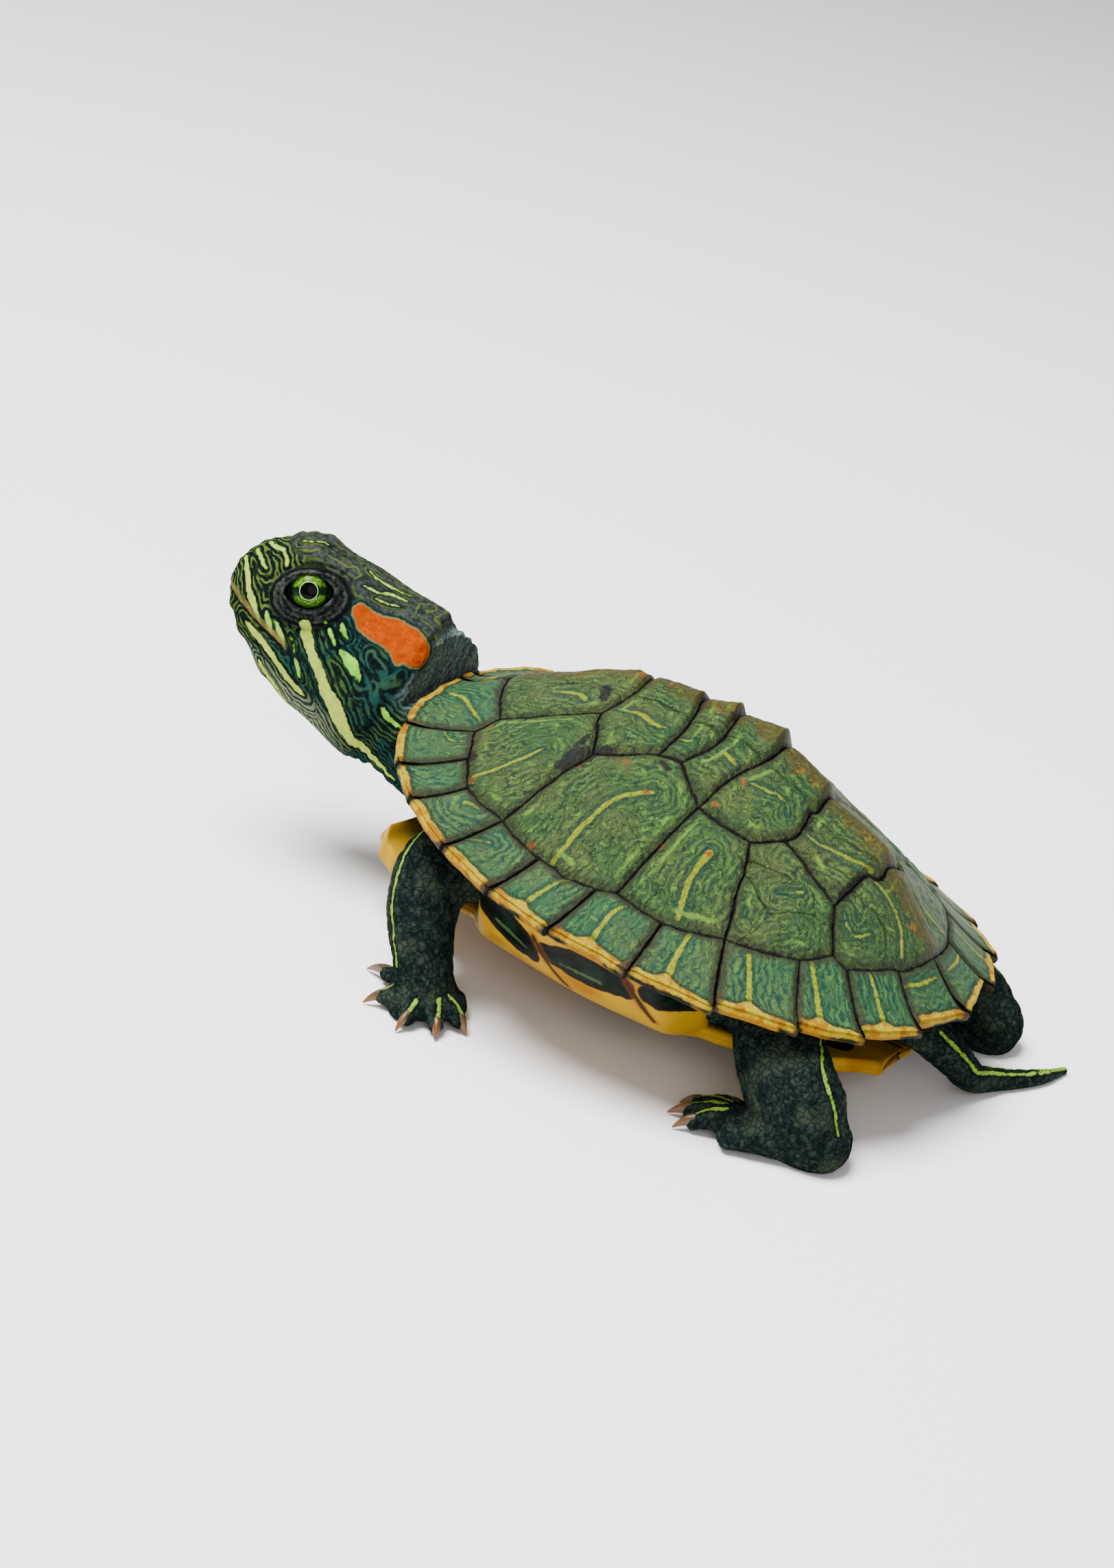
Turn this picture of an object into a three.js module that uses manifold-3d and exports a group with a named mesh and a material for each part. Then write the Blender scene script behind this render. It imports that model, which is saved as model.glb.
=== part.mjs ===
// A young red-eared slider turtle, life size, as a still museum model standing on four feet.
// Millimetres, +Z up. The head points to -X and the turtle's left side to -Y.
// The origin is the middle of the footprint box, on the plane that the feet stand on.
import * as THREE from 'three';
import { mergeVertices } from 'three/addons/utils/BufferGeometryUtils.js';
import Module from 'manifold-3d';

const wasm = await Module();
wasm.setup();

// ---------------------------------------------------------------- driving dimensions
const SHELL_LENGTH = 45;          // carapace, straight line
const SHELL_WIDTH = 40.3;
const SHELL_CENTRE = -0.5;        // the widest point, ahead of the middle
const OUTLINE_POWER = 2.4;        // superellipse power of the rim, seen from above
const DOME_HEIGHT = 9.4;          // the dome over its rim plane, without the roof
const DOME_POWER = 1.9;           // dome profile: (1 - rho^DOME_POWER)^DOME_SHOULDER
const DOME_SHOULDER = 1.343;
const DOME_SKEW = -0.02;
const REAR_TAPER = 0.056;         // the rear half is this share narrower than the front half
const ROOF_HEIGHT = 3.0;          // the roof that runs along the back over the dome
const ROOF_WIDTH = 4.14;
const RIDGE_ROUNDING = 0.33;      // mm2, rounds the roof's ridge
const FRONT_RISE = 3.4;           // the rim lifts over the neck
const REAR_RISE = 1.2;
const PITCH = THREE.MathUtils.degToRad(8.75);   // nose up
const LEAN = THREE.MathUtils.degToRad(-3.8);    // left side up
const STANCE = 10.83;             // rim plane over the soles, along the shell's own up axis

const SEAM = 0.3;                 // width of the seams between the plates
const PLATE = 0.9;                // thickness of the plates
const PILLOW = 0.14;              // how far a plate sinks to its seam
const KEEL_KNOB = 0.55;           // height of the knob at the rear of each vertebral plate
const KEEL_WIDTH = 1.7;
const KEEL_SPREAD = 7;            // width of the gentle rise that carries the knobs
const RIM_THICKNESS = 0.85;
const INNER_THICKNESS = 0.75;     // of a marginal plate at its inner seam, under the rim's level
const RIM_ROUNDING = 0.22;        // how far the rim's upper edge is cut down
const RIM_SWELL = 0.026;          // how far the rear corner of a marginal plate stands out, as a share of the radius
const RIM_DRAW = 0.012;           // and how far its front corner draws in
const GAP = 0.3;                  // clearance between any two nodes

const PLASTRON = {
  front: -21.6, rear: 20.3, low: -8.3, dip: 2.0, upturn: 0.8, thickness: 1.2,
  lip: 0.6, lipWidth: 1.4, notch: 1.6, dent: 0.5,
};
const HEAD = { length: 13.6, scale: 1.065, tip: [-39.8, -7.3, 4.8], forward: [-0.915, -0.313, 0.257], roll: 12 };
const EYE = { t: 5.25, v: 2.6, w: 2.15, radius: 2.1 };

const COLORS = {
  carapace: 0x4f7d45, rim: 0x4a7a66, plastron: 0xd9a83e, skin: 0x24352f, eye: 0x5fa04a,
};

// ---------------------------------------------------------------- small helpers
const V = (x, y, z) => new THREE.Vector3(x, y, z);
const lerp = THREE.MathUtils.lerp;
const clamp = THREE.MathUtils.clamp;
const bump = (d, width) => Math.exp(-((d / width) ** 2));

// A value along a line of [position, value] knots, eased between them.
function along(knots, s) {
  if (s <= knots[0][0]) return knots[0][1];
  for (let i = 1; i < knots.length; i++) {
    if (s <= knots[i][0]) {
      const f = (s - knots[i - 1][0]) / (knots[i][0] - knots[i - 1][0]);
      return lerp(knots[i - 1][1], knots[i][1], f * f * (3 - 2 * f));
    }
  }
  return knots[knots.length - 1][1];
}

function geometryOf(points, faces) {
  let volume = 0;
  for (const [a, b, c] of faces) {
    volume += points[a].dot(points[b].clone().cross(points[c]));
  }
  const index = faces.flatMap(([a, b, c]) => (volume < 0 ? [a, c, b] : [a, b, c]));
  const geometry = new THREE.BufferGeometry();
  geometry.setAttribute('position', new THREE.Float32BufferAttribute(points.flatMap((p) => [p.x, p.y, p.z]), 3));
  geometry.setIndex(index);
  return geometry;
}

const middleOf = (ring) => ring.reduce((sum, p) => sum.add(p), V(0, 0, 0)).divideScalar(ring.length);

// A closed body through rings of equal count, with a point over each end.
function loft(rings, first, last) {
  const n = rings[0].length;
  const points = rings.flat();
  const faces = [];
  for (let r = 0; r + 1 < rings.length; r++) {
    for (let i = 0; i < n; i++) {
      const a = r * n + i, b = r * n + (i + 1) % n, c = a + n, d = b + n;
      faces.push([a, b, d], [a, d, c]);
    }
  }
  const p = points.push(first) - 1, q = points.push(last) - 1;
  const end = (rings.length - 1) * n;
  for (let i = 0; i < n; i++) {
    faces.push([p, (i + 1) % n, i], [q, end + i, end + (i + 1) % n]);
  }
  return geometryOf(points, faces);
}

const MERGE = 1e-4;               // vertices closer than this are one vertex

// A geometry with nothing but shared positions.
function bareMesh(geometry) {
  const bare = geometry.clone();
  for (const name of Object.keys(bare.attributes)) {
    if (name !== 'position') bare.deleteAttribute(name);
  }
  return mergeVertices(bare, MERGE);
}

function solidOf(geometry) {
  const merged = bareMesh(geometry);
  return new wasm.Manifold(new wasm.Mesh({
    numProp: 3,
    vertProperties: new Float32Array(merged.attributes.position.array),
    triVerts: new Uint32Array(merged.index.array),
  }));
}

// The largest body of a solid, as a geometry.
function geometryOfSolid(solid) {
  const parts = solid.decompose().sort((a, b) => b.volume() - a.volume());
  const mesh = parts[0].getMesh();
  const geometry = new THREE.BufferGeometry();
  const xyz = new Float32Array(mesh.numVert * 3);
  for (let i = 0; i < mesh.numVert; i++) {
    for (let k = 0; k < 3; k++) xyz[i * 3 + k] = mesh.vertProperties[i * mesh.numProp + k];
  }
  geometry.setAttribute('position', new THREE.BufferAttribute(xyz, 3));
  geometry.setIndex(Array.from(mesh.triVerts));
  return geometry;
}

const union = (geometries) => geometries.map(solidOf).reduce((a, b) => a.add(b));

// ---------------------------------------------------------------- the carapace surface
// theta runs round the shell from the tail (0) by the right side to the head (180 degrees)
// and back by the left side; rho runs from the middle (0) to the rim (1).
const HALF = SHELL_LENGTH / 2;
const ahead = HALF + SHELL_CENTRE;
const behind = HALF - SHELL_CENTRE;

function rimRadius(theta) {
  const c = Math.abs(Math.cos(theta)) / (Math.cos(theta) > 0 ? behind : ahead);
  const s = Math.abs(Math.sin(theta)) / (SHELL_WIDTH / 2 * (1 - REAR_TAPER * Math.cos(theta)));
  return (c ** OUTLINE_POWER + s ** OUTLINE_POWER) ** (-1 / OUTLINE_POWER);
}

function domeHeight(theta, rho) {
  const c = Math.cos(theta);
  const shoulder = DOME_SHOULDER * (1 + DOME_SKEW * c);
  const rise = (c < 0 ? FRONT_RISE : REAR_RISE) * c * c;
  const y = rho * rimRadius(theta) * Math.sin(theta);
  const roof = ROOF_HEIGHT * Math.max(0, 1 - rho * rho) * Math.exp(-Math.sqrt(y * y + RIDGE_ROUNDING) / ROOF_WIDTH);
  return DOME_HEIGHT * Math.max(0, 1 - rho ** DOME_POWER) ** shoulder + rise * rho * rho + roof;
}

// The back line stands over the dome at its front end and over the tail.
const KEEL_LINE = [[-22, 0], [-18, 0.6], [-8.5, 0.5], [-4, -0.1], [3, 0], [7.5, -0.35], [13.6, 0.8], [22, 0]];

// The seams across the back, from the nape to the tail, at the midline.
const KEEL_SEAMS = [-18.7, -8.45, -3.95, -1.1, 3.0, 7.5, 13.6, 19.3];
const KNOBS = [0.9, 0.75, 1.2, 1.8, 1.1, 0.7, 0.3];

function keel(x, y) {
  let height = along(KEEL_LINE, x) * bump(y, KEEL_SPREAD);
  for (let i = 0; i < KNOBS.length; i++) {
    const f = (x - KEEL_SEAMS[i]) / (KEEL_SEAMS[i + 1] - KEEL_SEAMS[i]);
    if (f <= 0 || f >= 1) continue;
    // Each knob rises slowly toward the rear seam and drops steeply over it.
    const rise = Math.min(f * f * 1.25, (1 - f) * 8, 1);
    height += KEEL_KNOB * KNOBS[i] * rise * bump(y, KEEL_WIDTH);
  }
  return height;
}

const planOf = (x, y) => {
  const theta = Math.atan2(y, x - SHELL_CENTRE);
  return [theta, Math.min(1, Math.hypot(x - SHELL_CENTRE, y) / rimRadius(theta))];
};
const plan = (theta, rho) => {
  const r = rho * rimRadius(theta);
  return [SHELL_CENTRE + Math.cos(theta) * r, Math.sin(theta) * r];
};
const shellHeight = (x, y) => domeHeight(...planOf(x, y)) + keel(x, y);
const polar = (degrees, rho) => plan(THREE.MathUtils.degToRad(degrees), rho);

// ---------------------------------------------------------------- the plate layout, left side
// Seams between the twelve marginal plates: angle at the rim, then angle and rho at the inner seam.
const RIM_SEAMS = [182.8, 207.3, 221.1, 231.1, 243.7, 256.9, 270.9, 288.1, 305.3, 319.7, 331.7, 344.9, 360];
const INNER_SEAMS = [
  [182.4, 0.836], [210.5, 0.773], [221.3, 0.798], [230.9, 0.822], [243.5, 0.802], [256.6, 0.82], [272.8, 0.802],
  [290.5, 0.802], [305.9, 0.768], [323.0, 0.785], [334.2, 0.808], [347.5, 0.833], [360, 0.859],
];
const at = (x, y) => [x * SHELL_LENGTH, y * SHELL_LENGTH];
const inner = (k) => polar(...INNER_SEAMS[k]);
const J = {
  m1: at(-0.338, -0.154), a: at(-0.205, -0.097), b: at(-0.159, -0.183), c: at(-0.070, -0.133),
  d: at(-0.036, -0.127), e: at(0.034, -0.172), f: at(0.081, -0.174), g: at(0.135, -0.163),
  h: at(0.170, -0.118), i: at(0.287, -0.134), m7: at(0.035, -0.347), m10: at(0.333, -0.189),
};
// Bends of the seams between two corners.
const BEND = {
  ab: at(-0.169, -0.240), eb: at(0.032, -0.264), e: at(0.048, -0.091), d: at(-0.016, -0.071),
  c: at(-0.072, -0.077), h1: at(0.173, -0.091), h2: at(0.162, -0.044), i: at(0.288, -0.048),
};

// Between two points of the marginals' inner seam the seam follows the shell's curve.
function curved(p, q, steps) {
  const [t0, r0] = planOf(...p);
  const [t1, r1] = planOf(...q);
  const turn = t1 + (Math.abs(t1 - t0) > Math.PI ? Math.sign(t0 - t1) * 2 * Math.PI : 0) - t0;
  return Array.from({ length: steps }, (_, n) => {
    const f = n / steps;
    return plan(t0 + turn * f, lerp(r0, r1, f));
  });
}
// The stretches between the given corners; a long one gets a point in its middle.
const LONG_STRETCH = 2.6;
const chain = (...nodes) => nodes.slice(1).flatMap((q, i) => {
  const p = nodes[i];
  return curved(p, q, Math.hypot(q[0] - p[0], q[1] - p[1]) > LONG_STRETCH ? 2 : 1);
});
const mirror = (list) => list.map(([x, y]) => [x, -y]).reverse();
const keelAt = (n) => [KEEL_SEAMS[n], 0];
// Where the seam leaves the keel's knob, `shift` behind the seam's place on the midline.
const shoulder = (n, shift = 0) => [KEEL_SEAMS[n] + shift, -KEEL_WIDTH];

// Half of the seam across the back behind vertebral plate n, from the midline to the left.
const CROSS = [
  [keelAt(0)],
  [keelAt(1), shoulder(1), J.a],
  [keelAt(2), shoulder(2, 0.25), BEND.c, J.c],
  [keelAt(3), shoulder(3, 0.2), BEND.d, J.d],
  [keelAt(4), shoulder(4), BEND.e, J.e],
  [keelAt(5), shoulder(5), BEND.h2, BEND.h1, J.h],
  [keelAt(6), shoulder(6), BEND.i, J.i],
];
// The corners that each vertebral plate has between its front and its rear seam.
const FLANK = [[inner(0), J.m1], [J.b], [], [], [J.f, J.g], [], []];

function vertebral(n) {
  const front = n === 0 ? [keelAt(0)] : CROSS[n];
  const left = [...front, ...(n === 0 ? [inner(0), J.m1] : FLANK[n])];
  const rear = n === 6
    ? [...chain(J.m10, inner(10), inner(11), inner(12)), inner(12)]
    : [...CROSS[n + 1]].reverse();
  const half = [...left, ...rear];
  return [...half, ...mirror(half).filter(([, y]) => Math.abs(y) > 1e-6)];
}

function costal(n) {
  if (n === 0) return [J.m1, J.a, J.b, BEND.ab, ...chain(inner(4), inner(3), inner(2), inner(1)), inner(1)];
  if (n === 1) return [J.b, J.c, J.d, J.e, BEND.eb, ...chain(J.m7, inner(6), inner(5), inner(4)), inner(4), BEND.ab];
  if (n === 2) return [J.e, J.f, J.g, ...chain(inner(8), inner(7), J.m7), J.m7, BEND.eb];
  return [J.g, J.h, J.i, ...chain(J.m10, inner(9), inner(8)), inner(8)];
}

// ---------------------------------------------------------------- plates
function inset(polygon, distance) {
  const n = polygon.length;
  let area = 0;
  for (let i = 0; i < n; i++) {
    const [x0, y0] = polygon[i], [x1, y1] = polygon[(i + 1) % n];
    area += x0 * y1 - x1 * y0;
  }
  const side = Math.sign(area) * distance;
  return polygon.map((p, i) => {
    const a = polygon[(i + n - 1) % n], b = polygon[(i + 1) % n];
    const u = new THREE.Vector2(p[0] - a[0], p[1] - a[1]).normalize();
    const v = new THREE.Vector2(b[0] - p[0], b[1] - p[1]).normalize();
    const m = new THREE.Vector2(-(u.y + v.y), u.x + v.x).normalize();
    const reach = side / Math.max(0.5, -u.y * m.x + u.x * m.y);
    return [p[0] + m.x * reach, p[1] + m.y * reach];
  });
}

// Longer sides get points between the corners, so that the plate follows the dome.
function filled(polygon, step) {
  return polygon.flatMap((p, i) => {
    const q = polygon[(i + 1) % polygon.length];
    const count = Math.max(1, Math.round(Math.hypot(q[0] - p[0], q[1] - p[1]) / step));
    return Array.from({ length: count }, (_, k) => [lerp(p[0], q[0], k / count), lerp(p[1], q[1], k / count)]);
  });
}

// `shares` are the sizes of the rings between the plate's edge and its middle.
const PLATE_STEP = 4.2;
const CENTRE_EXTRA = 0.2;         // the underside bulges this much in the middle
function plate(outline, shares) {
  const edge = filled(inset(outline, SEAM / 2), PLATE_STEP);
  const cx = edge.reduce((s, p) => s + p[0], 0) / edge.length;
  const cy = edge.reduce((s, p) => s + p[1], 0) / edge.length;
  const ring = (share, drop) => edge.map(([x, y]) => {
    const px = lerp(cx, x, share), py = lerp(cy, y, share);
    return V(px, py, shellHeight(px, py) - drop);
  });
  const rings = [ring(1, PLATE + PILLOW), ring(1, PILLOW), ...shares.map((share) => ring(share, 0))];
  return loft(rings, V(cx, cy, shellHeight(cx, cy) - PLATE - CENTRE_EXTRA), V(cx, cy, shellHeight(cx, cy)));
}

// A marginal plate is a wedge: its top follows the dome out to the rim, its underside is flat.
// The rear corner of each plate stands out a little, most of all over the tail.
function rimBulge(k, f) {
  const rear = clamp((k - 4) / 5, 0.15, 1);
  return 1 + rear * (RIM_SWELL * f ** 3 - RIM_DRAW * (1 - f) ** 2);
}

const RIM_CORNERS = { 1: J.m1, 7: J.m7, 10: J.m10 };   // corners of the larger plates on a marginal's inner edge
function marginal(k, side) {
  const stops = [inner(k - 1), RIM_CORNERS[k], inner(k)].filter(Boolean);
  const innerEdge = [...chain(...stops), inner(k)];
  const n = innerEdge.length - 1;
  const outer = innerEdge.map((_, i) => {
    const f = i / n;
    return [lerp(RIM_SEAMS[k - 1], RIM_SEAMS[k], f), rimBulge(k, f)];
  });
  return marginWedge(innerEdge, outer, side);
}

function marginWedge(innerEdge, outer, side) {
  const rim = outer.map(([degrees, rho]) => polar(degrees, rho));
  const border = inset([...innerEdge, ...[...rim].reverse()], SEAM / 2);
  const n = innerEdge.length;
  const top = [], low = [];
  for (let i = 0; i < n; i++) {
    const a = border[i], b = border[2 * n - 1 - i];
    const rimLevel = domeHeight(planOf(...b)[0], 1);
    top.push([0, 0.5, 0.94, 1].map((f) => {
      const x = lerp(a[0], b[0], f), y = lerp(a[1], b[1], f);
      const flat = f === 1 ? rimLevel - RIM_ROUNDING : Math.max(shellHeight(x, y), rimLevel);
      return V(x, y * side, flat - (f === 0 ? PILLOW : 0));
    }));
    low.push([0.94, 0].map((f) => {
      const x = lerp(a[0], b[0], f), y = lerp(a[1], b[1], f);
      return V(x, y * side, rimLevel - (f ? RIM_THICKNESS : INNER_THICKNESS));
    }));
  }
  // The cross-sections from one seam to the other are the rings of a loft.
  const rings = top.map((line, i) => [...line, ...low[i]]);
  return loft(rings, middleOf(rings[0]), middleOf(rings[rings.length - 1]));
}

function cervical() {
  const innerEdge = [inner(0), keelAt(0), [inner(0)[0], -inner(0)[1]]];
  const outer = [[RIM_SEAMS[0], 1], [180, 1.01], [360 - RIM_SEAMS[0], 1]];
  return marginWedge(innerEdge, outer, 1);
}

// ---------------------------------------------------------------- trunk, plastron and bridges
const ROUND = 32;
const angles = Array.from({ length: ROUND }, (_, i) => (i / ROUND) * 2 * Math.PI);

// Half width of the plastron along the body: front lobe, bridge, rear lobe with its notch.
const PLASTRON_HALF = [
  [-21.6, 6.2], [-20.3, 7.8], [-16, 10.4], [-9.8, 11.9], [-8.2, 13.2],
  [7.6, 13.0], [9.6, 11.2], [15, 9.4], [20.3, 4.2],
];
// Its underside rises toward the tail and toward the sides, dips under the neck and turns up at the very front.
const REAR_SLOPE = 0.085;
const SIDE_CURVE = 0.006;
const plastronPlain = (x, y) => PLASTRON.low + REAR_SLOPE * (x - 1 + Math.hypot(x - 1, 3)) + SIDE_CURVE * y * y;
const plastronLow = (x, y) => plastronPlain(x, y)
  - PLASTRON.dip * THREE.MathUtils.smoothstep(-x, 9, 19)
  + PLASTRON.upturn * THREE.MathUtils.smoothstep(-x, 19.2, 22.6);

function plastron(grow) {
  const rows = 13;
  const columns = [-1, -0.55, 0, 0.55, 1];
  const rings = [];
  for (let r = 0; r <= rows; r++) {
    const f = r / rows, x = lerp(PLASTRON.front, PLASTRON.rear, f) + grow * (f * 2 - 1);
    const half = along(PLASTRON_HALF, x) + grow;
    // The gular rim is a thick rolled lip, and the rear rim has a shallow notch.
    const lip = PLASTRON.lip * bump(x - PLASTRON.front, PLASTRON.lipWidth);
    const cut = r === rows ? -PLASTRON.notch : r === 0 ? PLASTRON.dent : 0;
    const chamfer = (c) => (Math.abs(c) === 1 ? PLASTRON.thickness / 4 : 0);
    const point = (c, lift) => V(x + cut * (1 - Math.abs(c)), c * half, plastronLow(x, c * half) + lift);
    const low = columns.map((c) => point(c, chamfer(c) - lip * 0.5 - grow));
    const high = [...columns].reverse().map((c) => point(c, PLASTRON.thickness - chamfer(c) + lip + grow));
    rings.push([...low, ...high]);
  }
  return loft(rings, middleOf(rings[0]), middleOf(rings[rows]));
}

// The bridge slopes from under the marginal plates down to the plastron's edge.
const BRIDGE = { front: -8.0, rear: 8.0, top: 17.9, arc: 27, foot: 0.45, thickness: 1.1 };
const BRIDGE_BEND = { along: 0.45, down: 0.62, inside: 0.55 };
function bridge(side) {
  const rings = [];
  const rows = 8;
  for (let r = 0; r <= rows; r++) {
    const x = lerp(BRIDGE.front, BRIDGE.rear, r / rows);
    const [theta] = planOf(x, -15);
    const rimY = Math.abs(Math.sin(theta)) * rimRadius(theta);
    const top = Math.min(BRIDGE.top * Math.sqrt(1 - (x / BRIDGE.arc) ** 2), rimY - 0.9);
    const foot = along(PLASTRON_HALF, x) + BRIDGE.foot;
    const bend = lerp(top, foot, BRIDGE_BEND.along);
    const topZ = domeHeight(theta, 1) - RIM_THICKNESS - GAP;
    const footZ = plastronLow(x, foot) + 0.1;
    const outside = [[top, topZ], [bend, lerp(topZ, footZ, BRIDGE_BEND.down)], [foot, footZ]];
    const inside = [
      [foot, footZ + BRIDGE.thickness], [bend - 0.9, lerp(topZ, footZ, BRIDGE_BEND.inside) + 0.3], [top - 1.5, topZ],
    ];
    rings.push([...outside, ...inside].map(([y, z]) => V(x, side * y, z)));
  }
  return loft(rings, middleOf(rings[0]), middleOf(rings[rows]));
}

// The trunk fills the shell from just under the plates down to the plastron.
const TRUNK_REACH = 0.70;
const TRUNK_FOOT = 0.58;
const TRUNK_COVER = PLATE + PILLOW + 0.75;   // from the plates' outer faces down to the trunk
const trunkLow = (x, y) => plastronPlain(x, y) + PLASTRON.thickness + 2 * GAP;
function trunk() {
  const topRing = (rho) => angles.map((theta) => {
    const [x, y] = plan(theta, rho);
    return V(x, y, shellHeight(x, y) - TRUNK_COVER);
  });
  const sideRing = (f) => angles.map((theta) => {
    const [x, y] = plan(theta, lerp(TRUNK_REACH, TRUNK_FOOT, f ** 1.6));
    const high = domeHeight(theta, TRUNK_REACH) - TRUNK_COVER;
    return V(x, y, lerp(high, trunkLow(x, y), f));
  });
  const rings = [topRing(0.3), topRing(0.56), sideRing(0), sideRing(0.35), sideRing(0.7), sideRing(1)];
  return loft(rings, V(0, 0, shellHeight(0, 0) - TRUNK_COVER), V(0, 0, trunkLow(0, 0)));
}

// Everything rigid of the shell, a clearance larger, to cut the neck, the limbs and the tail.
function shellSpace() {
  const ring = (make) => angles.map((theta) => {
    const [rho, z, out = 0] = make(theta);
    const [x, y] = plan(theta, rho + out / rimRadius(theta));
    return V(x, y, z === null ? shellHeight(x, y) + GAP : z);
  });
  const underside = (theta) => domeHeight(theta, 1) - RIM_THICKNESS - GAP;
  const floorOfTrunk = (theta) => trunkLow(...plan(theta, TRUNK_FOOT)) - GAP;
  const rings = [
    ring(() => [0.3, null]), ring(() => [0.6, null]), ring(() => [0.85, null]),
    ring((theta) => [1.005, domeHeight(theta, 1) + 0.2, 0.25]),
    ring((theta) => [1.03, underside(theta), 0.35]),
    ring((theta) => [TRUNK_REACH, underside(theta), GAP]),
    ring((theta) => [lerp(TRUNK_REACH, TRUNK_FOOT, 0.5), lerp(underside(theta), floorOfTrunk(theta), 0.65), GAP]),
    ring((theta) => [TRUNK_FOOT, floorOfTrunk(theta), GAP]),
  ];
  return solidOf(loft(rings, V(0, 0, shellHeight(0, 0) + GAP), V(0, 0, trunkLow(0, 0) - GAP)));
}

// ---------------------------------------------------------------- limbs, neck and tail
// A tube with an oval section. Stations are [x, y, z, width/2, height/2]; `up` fixes the section.
function tube(stations, { sides = 12, steps = 2, up = V(0, 0, 1), from = 0, to = 1 } = {}) {
  const curve = new THREE.CatmullRomCurve3(stations.map(([x, y, z]) => V(x, y, z)), false, 'centripetal');
  const spans = stations.length - 1;
  const count = Math.max(1, Math.round(spans * steps * (to - from)));
  const frame = (s) => {
    const point = curve.getPoint(s), t = curve.getTangent(s);
    const across = new THREE.Vector3().crossVectors(t, up).normalize();
    const high = new THREE.Vector3().crossVectors(across, t).normalize();
    const f = s * spans, k = Math.min(spans - 1, Math.floor(f));
    const a = lerp(stations[k][3], stations[k + 1][3], f - k), b = lerp(stations[k][4], stations[k + 1][4], f - k);
    return { point, t, across, high, a, b };
  };
  const rings = Array.from({ length: count + 1 }, (_, i) => {
    const { point, across, high, a, b } = frame(lerp(from, to, i / count));
    return Array.from({ length: sides }, (_, j) => {
      const q = (j / sides) * 2 * Math.PI;
      return point.clone().addScaledVector(across, a * Math.cos(q)).addScaledVector(high, b * Math.sin(q));
    });
  });
  const cap = (s, way) => {
    const { point, t, a, b } = frame(s);
    return point.clone().addScaledVector(t, way * Math.min(a, b) * 0.5);
  };
  return loft(rings, cap(from, -1), cap(to, 1));
}

// The standing plane in the shell's own axes.
const floorAt = (x, y) => -STANCE + Math.tan(PITCH) * x - Math.tan(LEAN) / Math.cos(PITCH) * y;
function floorBlock() {
  const block = new THREE.BoxGeometry(160, 120, 30);
  block.translate(0, 0, -15);
  block.rotateX(-LEAN);
  block.rotateY(-PITCH);
  block.translate(0, 0, -STANCE);
  return solidOf(block);
}
const FLOOR = floorBlock();

// A digit: a short finger from the palm, ending in a curved claw on the floor.
// The claw is tilted down; `length` is finger and claw together.
const DIGIT = { out: 1.3, rise: 1.25, thick: 0.78, claw: 0.1, tip: 0.15 };
function digit([rx, ry], turn, length) {
  const { rise, thick } = DIGIT;
  const c = Math.cos(turn), s = Math.sin(turn);
  const on = (f, lift) => {
    const x = rx + c * length * f, y = ry + s * length * f;
    return [x, y, floorAt(x, y) + lift];
  };
  const finger = tube([[...on(0, rise), thick * 1.15, thick * 1.1], [...on(0.32, rise * 0.98), thick, thick],
    [...on(0.6, thick * 1.05), thick * 0.85, thick * 0.8]], { sides: 7, steps: 1 });
  const claw = tube([[...on(0.5, thick * 1.35), thick * 0.5, thick * 0.5],
    [...on(0.76, thick * 1.25), thick * 0.42, thick * 0.42],
    [...on(1, DIGIT.tip), DIGIT.claw, DIGIT.claw]], { sides: 5, steps: 1 });
  return [finger, claw];
}

// Stations of each limb on the left side, from inside the shell to the wrist or the ankle.
// `split` is the share of the line that belongs to the upper node.
const FORELEG = {
  line: [[-11.4, -7.6, -3.2, 3.0, 3.0], [-12.2, -10.8, -3.9, 3.1, 3.0], [-12.6, -13.5, -4.7, 3.0, 2.9],
    [-11.9, -15.2, -6.6, 2.8, 2.6], [-10.3, -16.1, -9.2, 2.4, 2.15], [-9.0, -16.3, -11.3, 2.3, 1.9]],
  up: V(-1, 0, 0), split: 0.46,
  palm: [[-6.9, -15.3, 0.8, 1.7, 1.0], [-8.6, -16.5, 1.2, 2.5, 1.5], [-9.9, -17.6, 0.75, 2.2, 1.0]],
  root: [-8.2, -16.3],
  digits: [[166, 6.6], [217, 4.5], [274, 4.3], [312, 4.2], [348, 3.9]],
};
const HINDLEG = {
  line: [[12.9, -7.2, -2.3, 3.0, 2.8], [14.4, -10.2, -3.0, 3.3, 3.1], [16.8, -12.2, -4.3, 3.4, 3.2],
    [18.9, -12.7, -5.6, 3.2, 3.1], [20.2, -12.6, -6.9, 2.7, 2.4]],
  up: V(-0.7, -0.7, 0), split: 0.5,
  palm: [[21.1, -12.2, 1.45, 2.2, 1.7], [18.0, -13.1, 1.35, 2.7, 1.6], [15.2, -14.0, 0.8, 3.0, 1.05]],
  root: [15.7, -13.8],
  digits: [[150, 4.3], [172, 5.0], [194, 5.0], [217, 4.5]],
};

// The limb's line for one side, with its step (dx, dy) shared out down to the foot.
// The limb of the lower side is shorter by the shell's lean.
function limbLine(leg, side, dx, dy) {
  const last = leg.line.length - 1;
  return leg.line.map(([x, y, z, a, b], i) => {
    const f = (i / last) ** 1.5, px = x + dx * f, py = side * (y + dy * f);
    return [px, py, z + f * (floorAt(px, py) - floorAt(x, y)), a, b];
  });
}
const mirroredUp = (leg, side) => V(leg.up.x, leg.up.y * side, leg.up.z);

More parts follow.
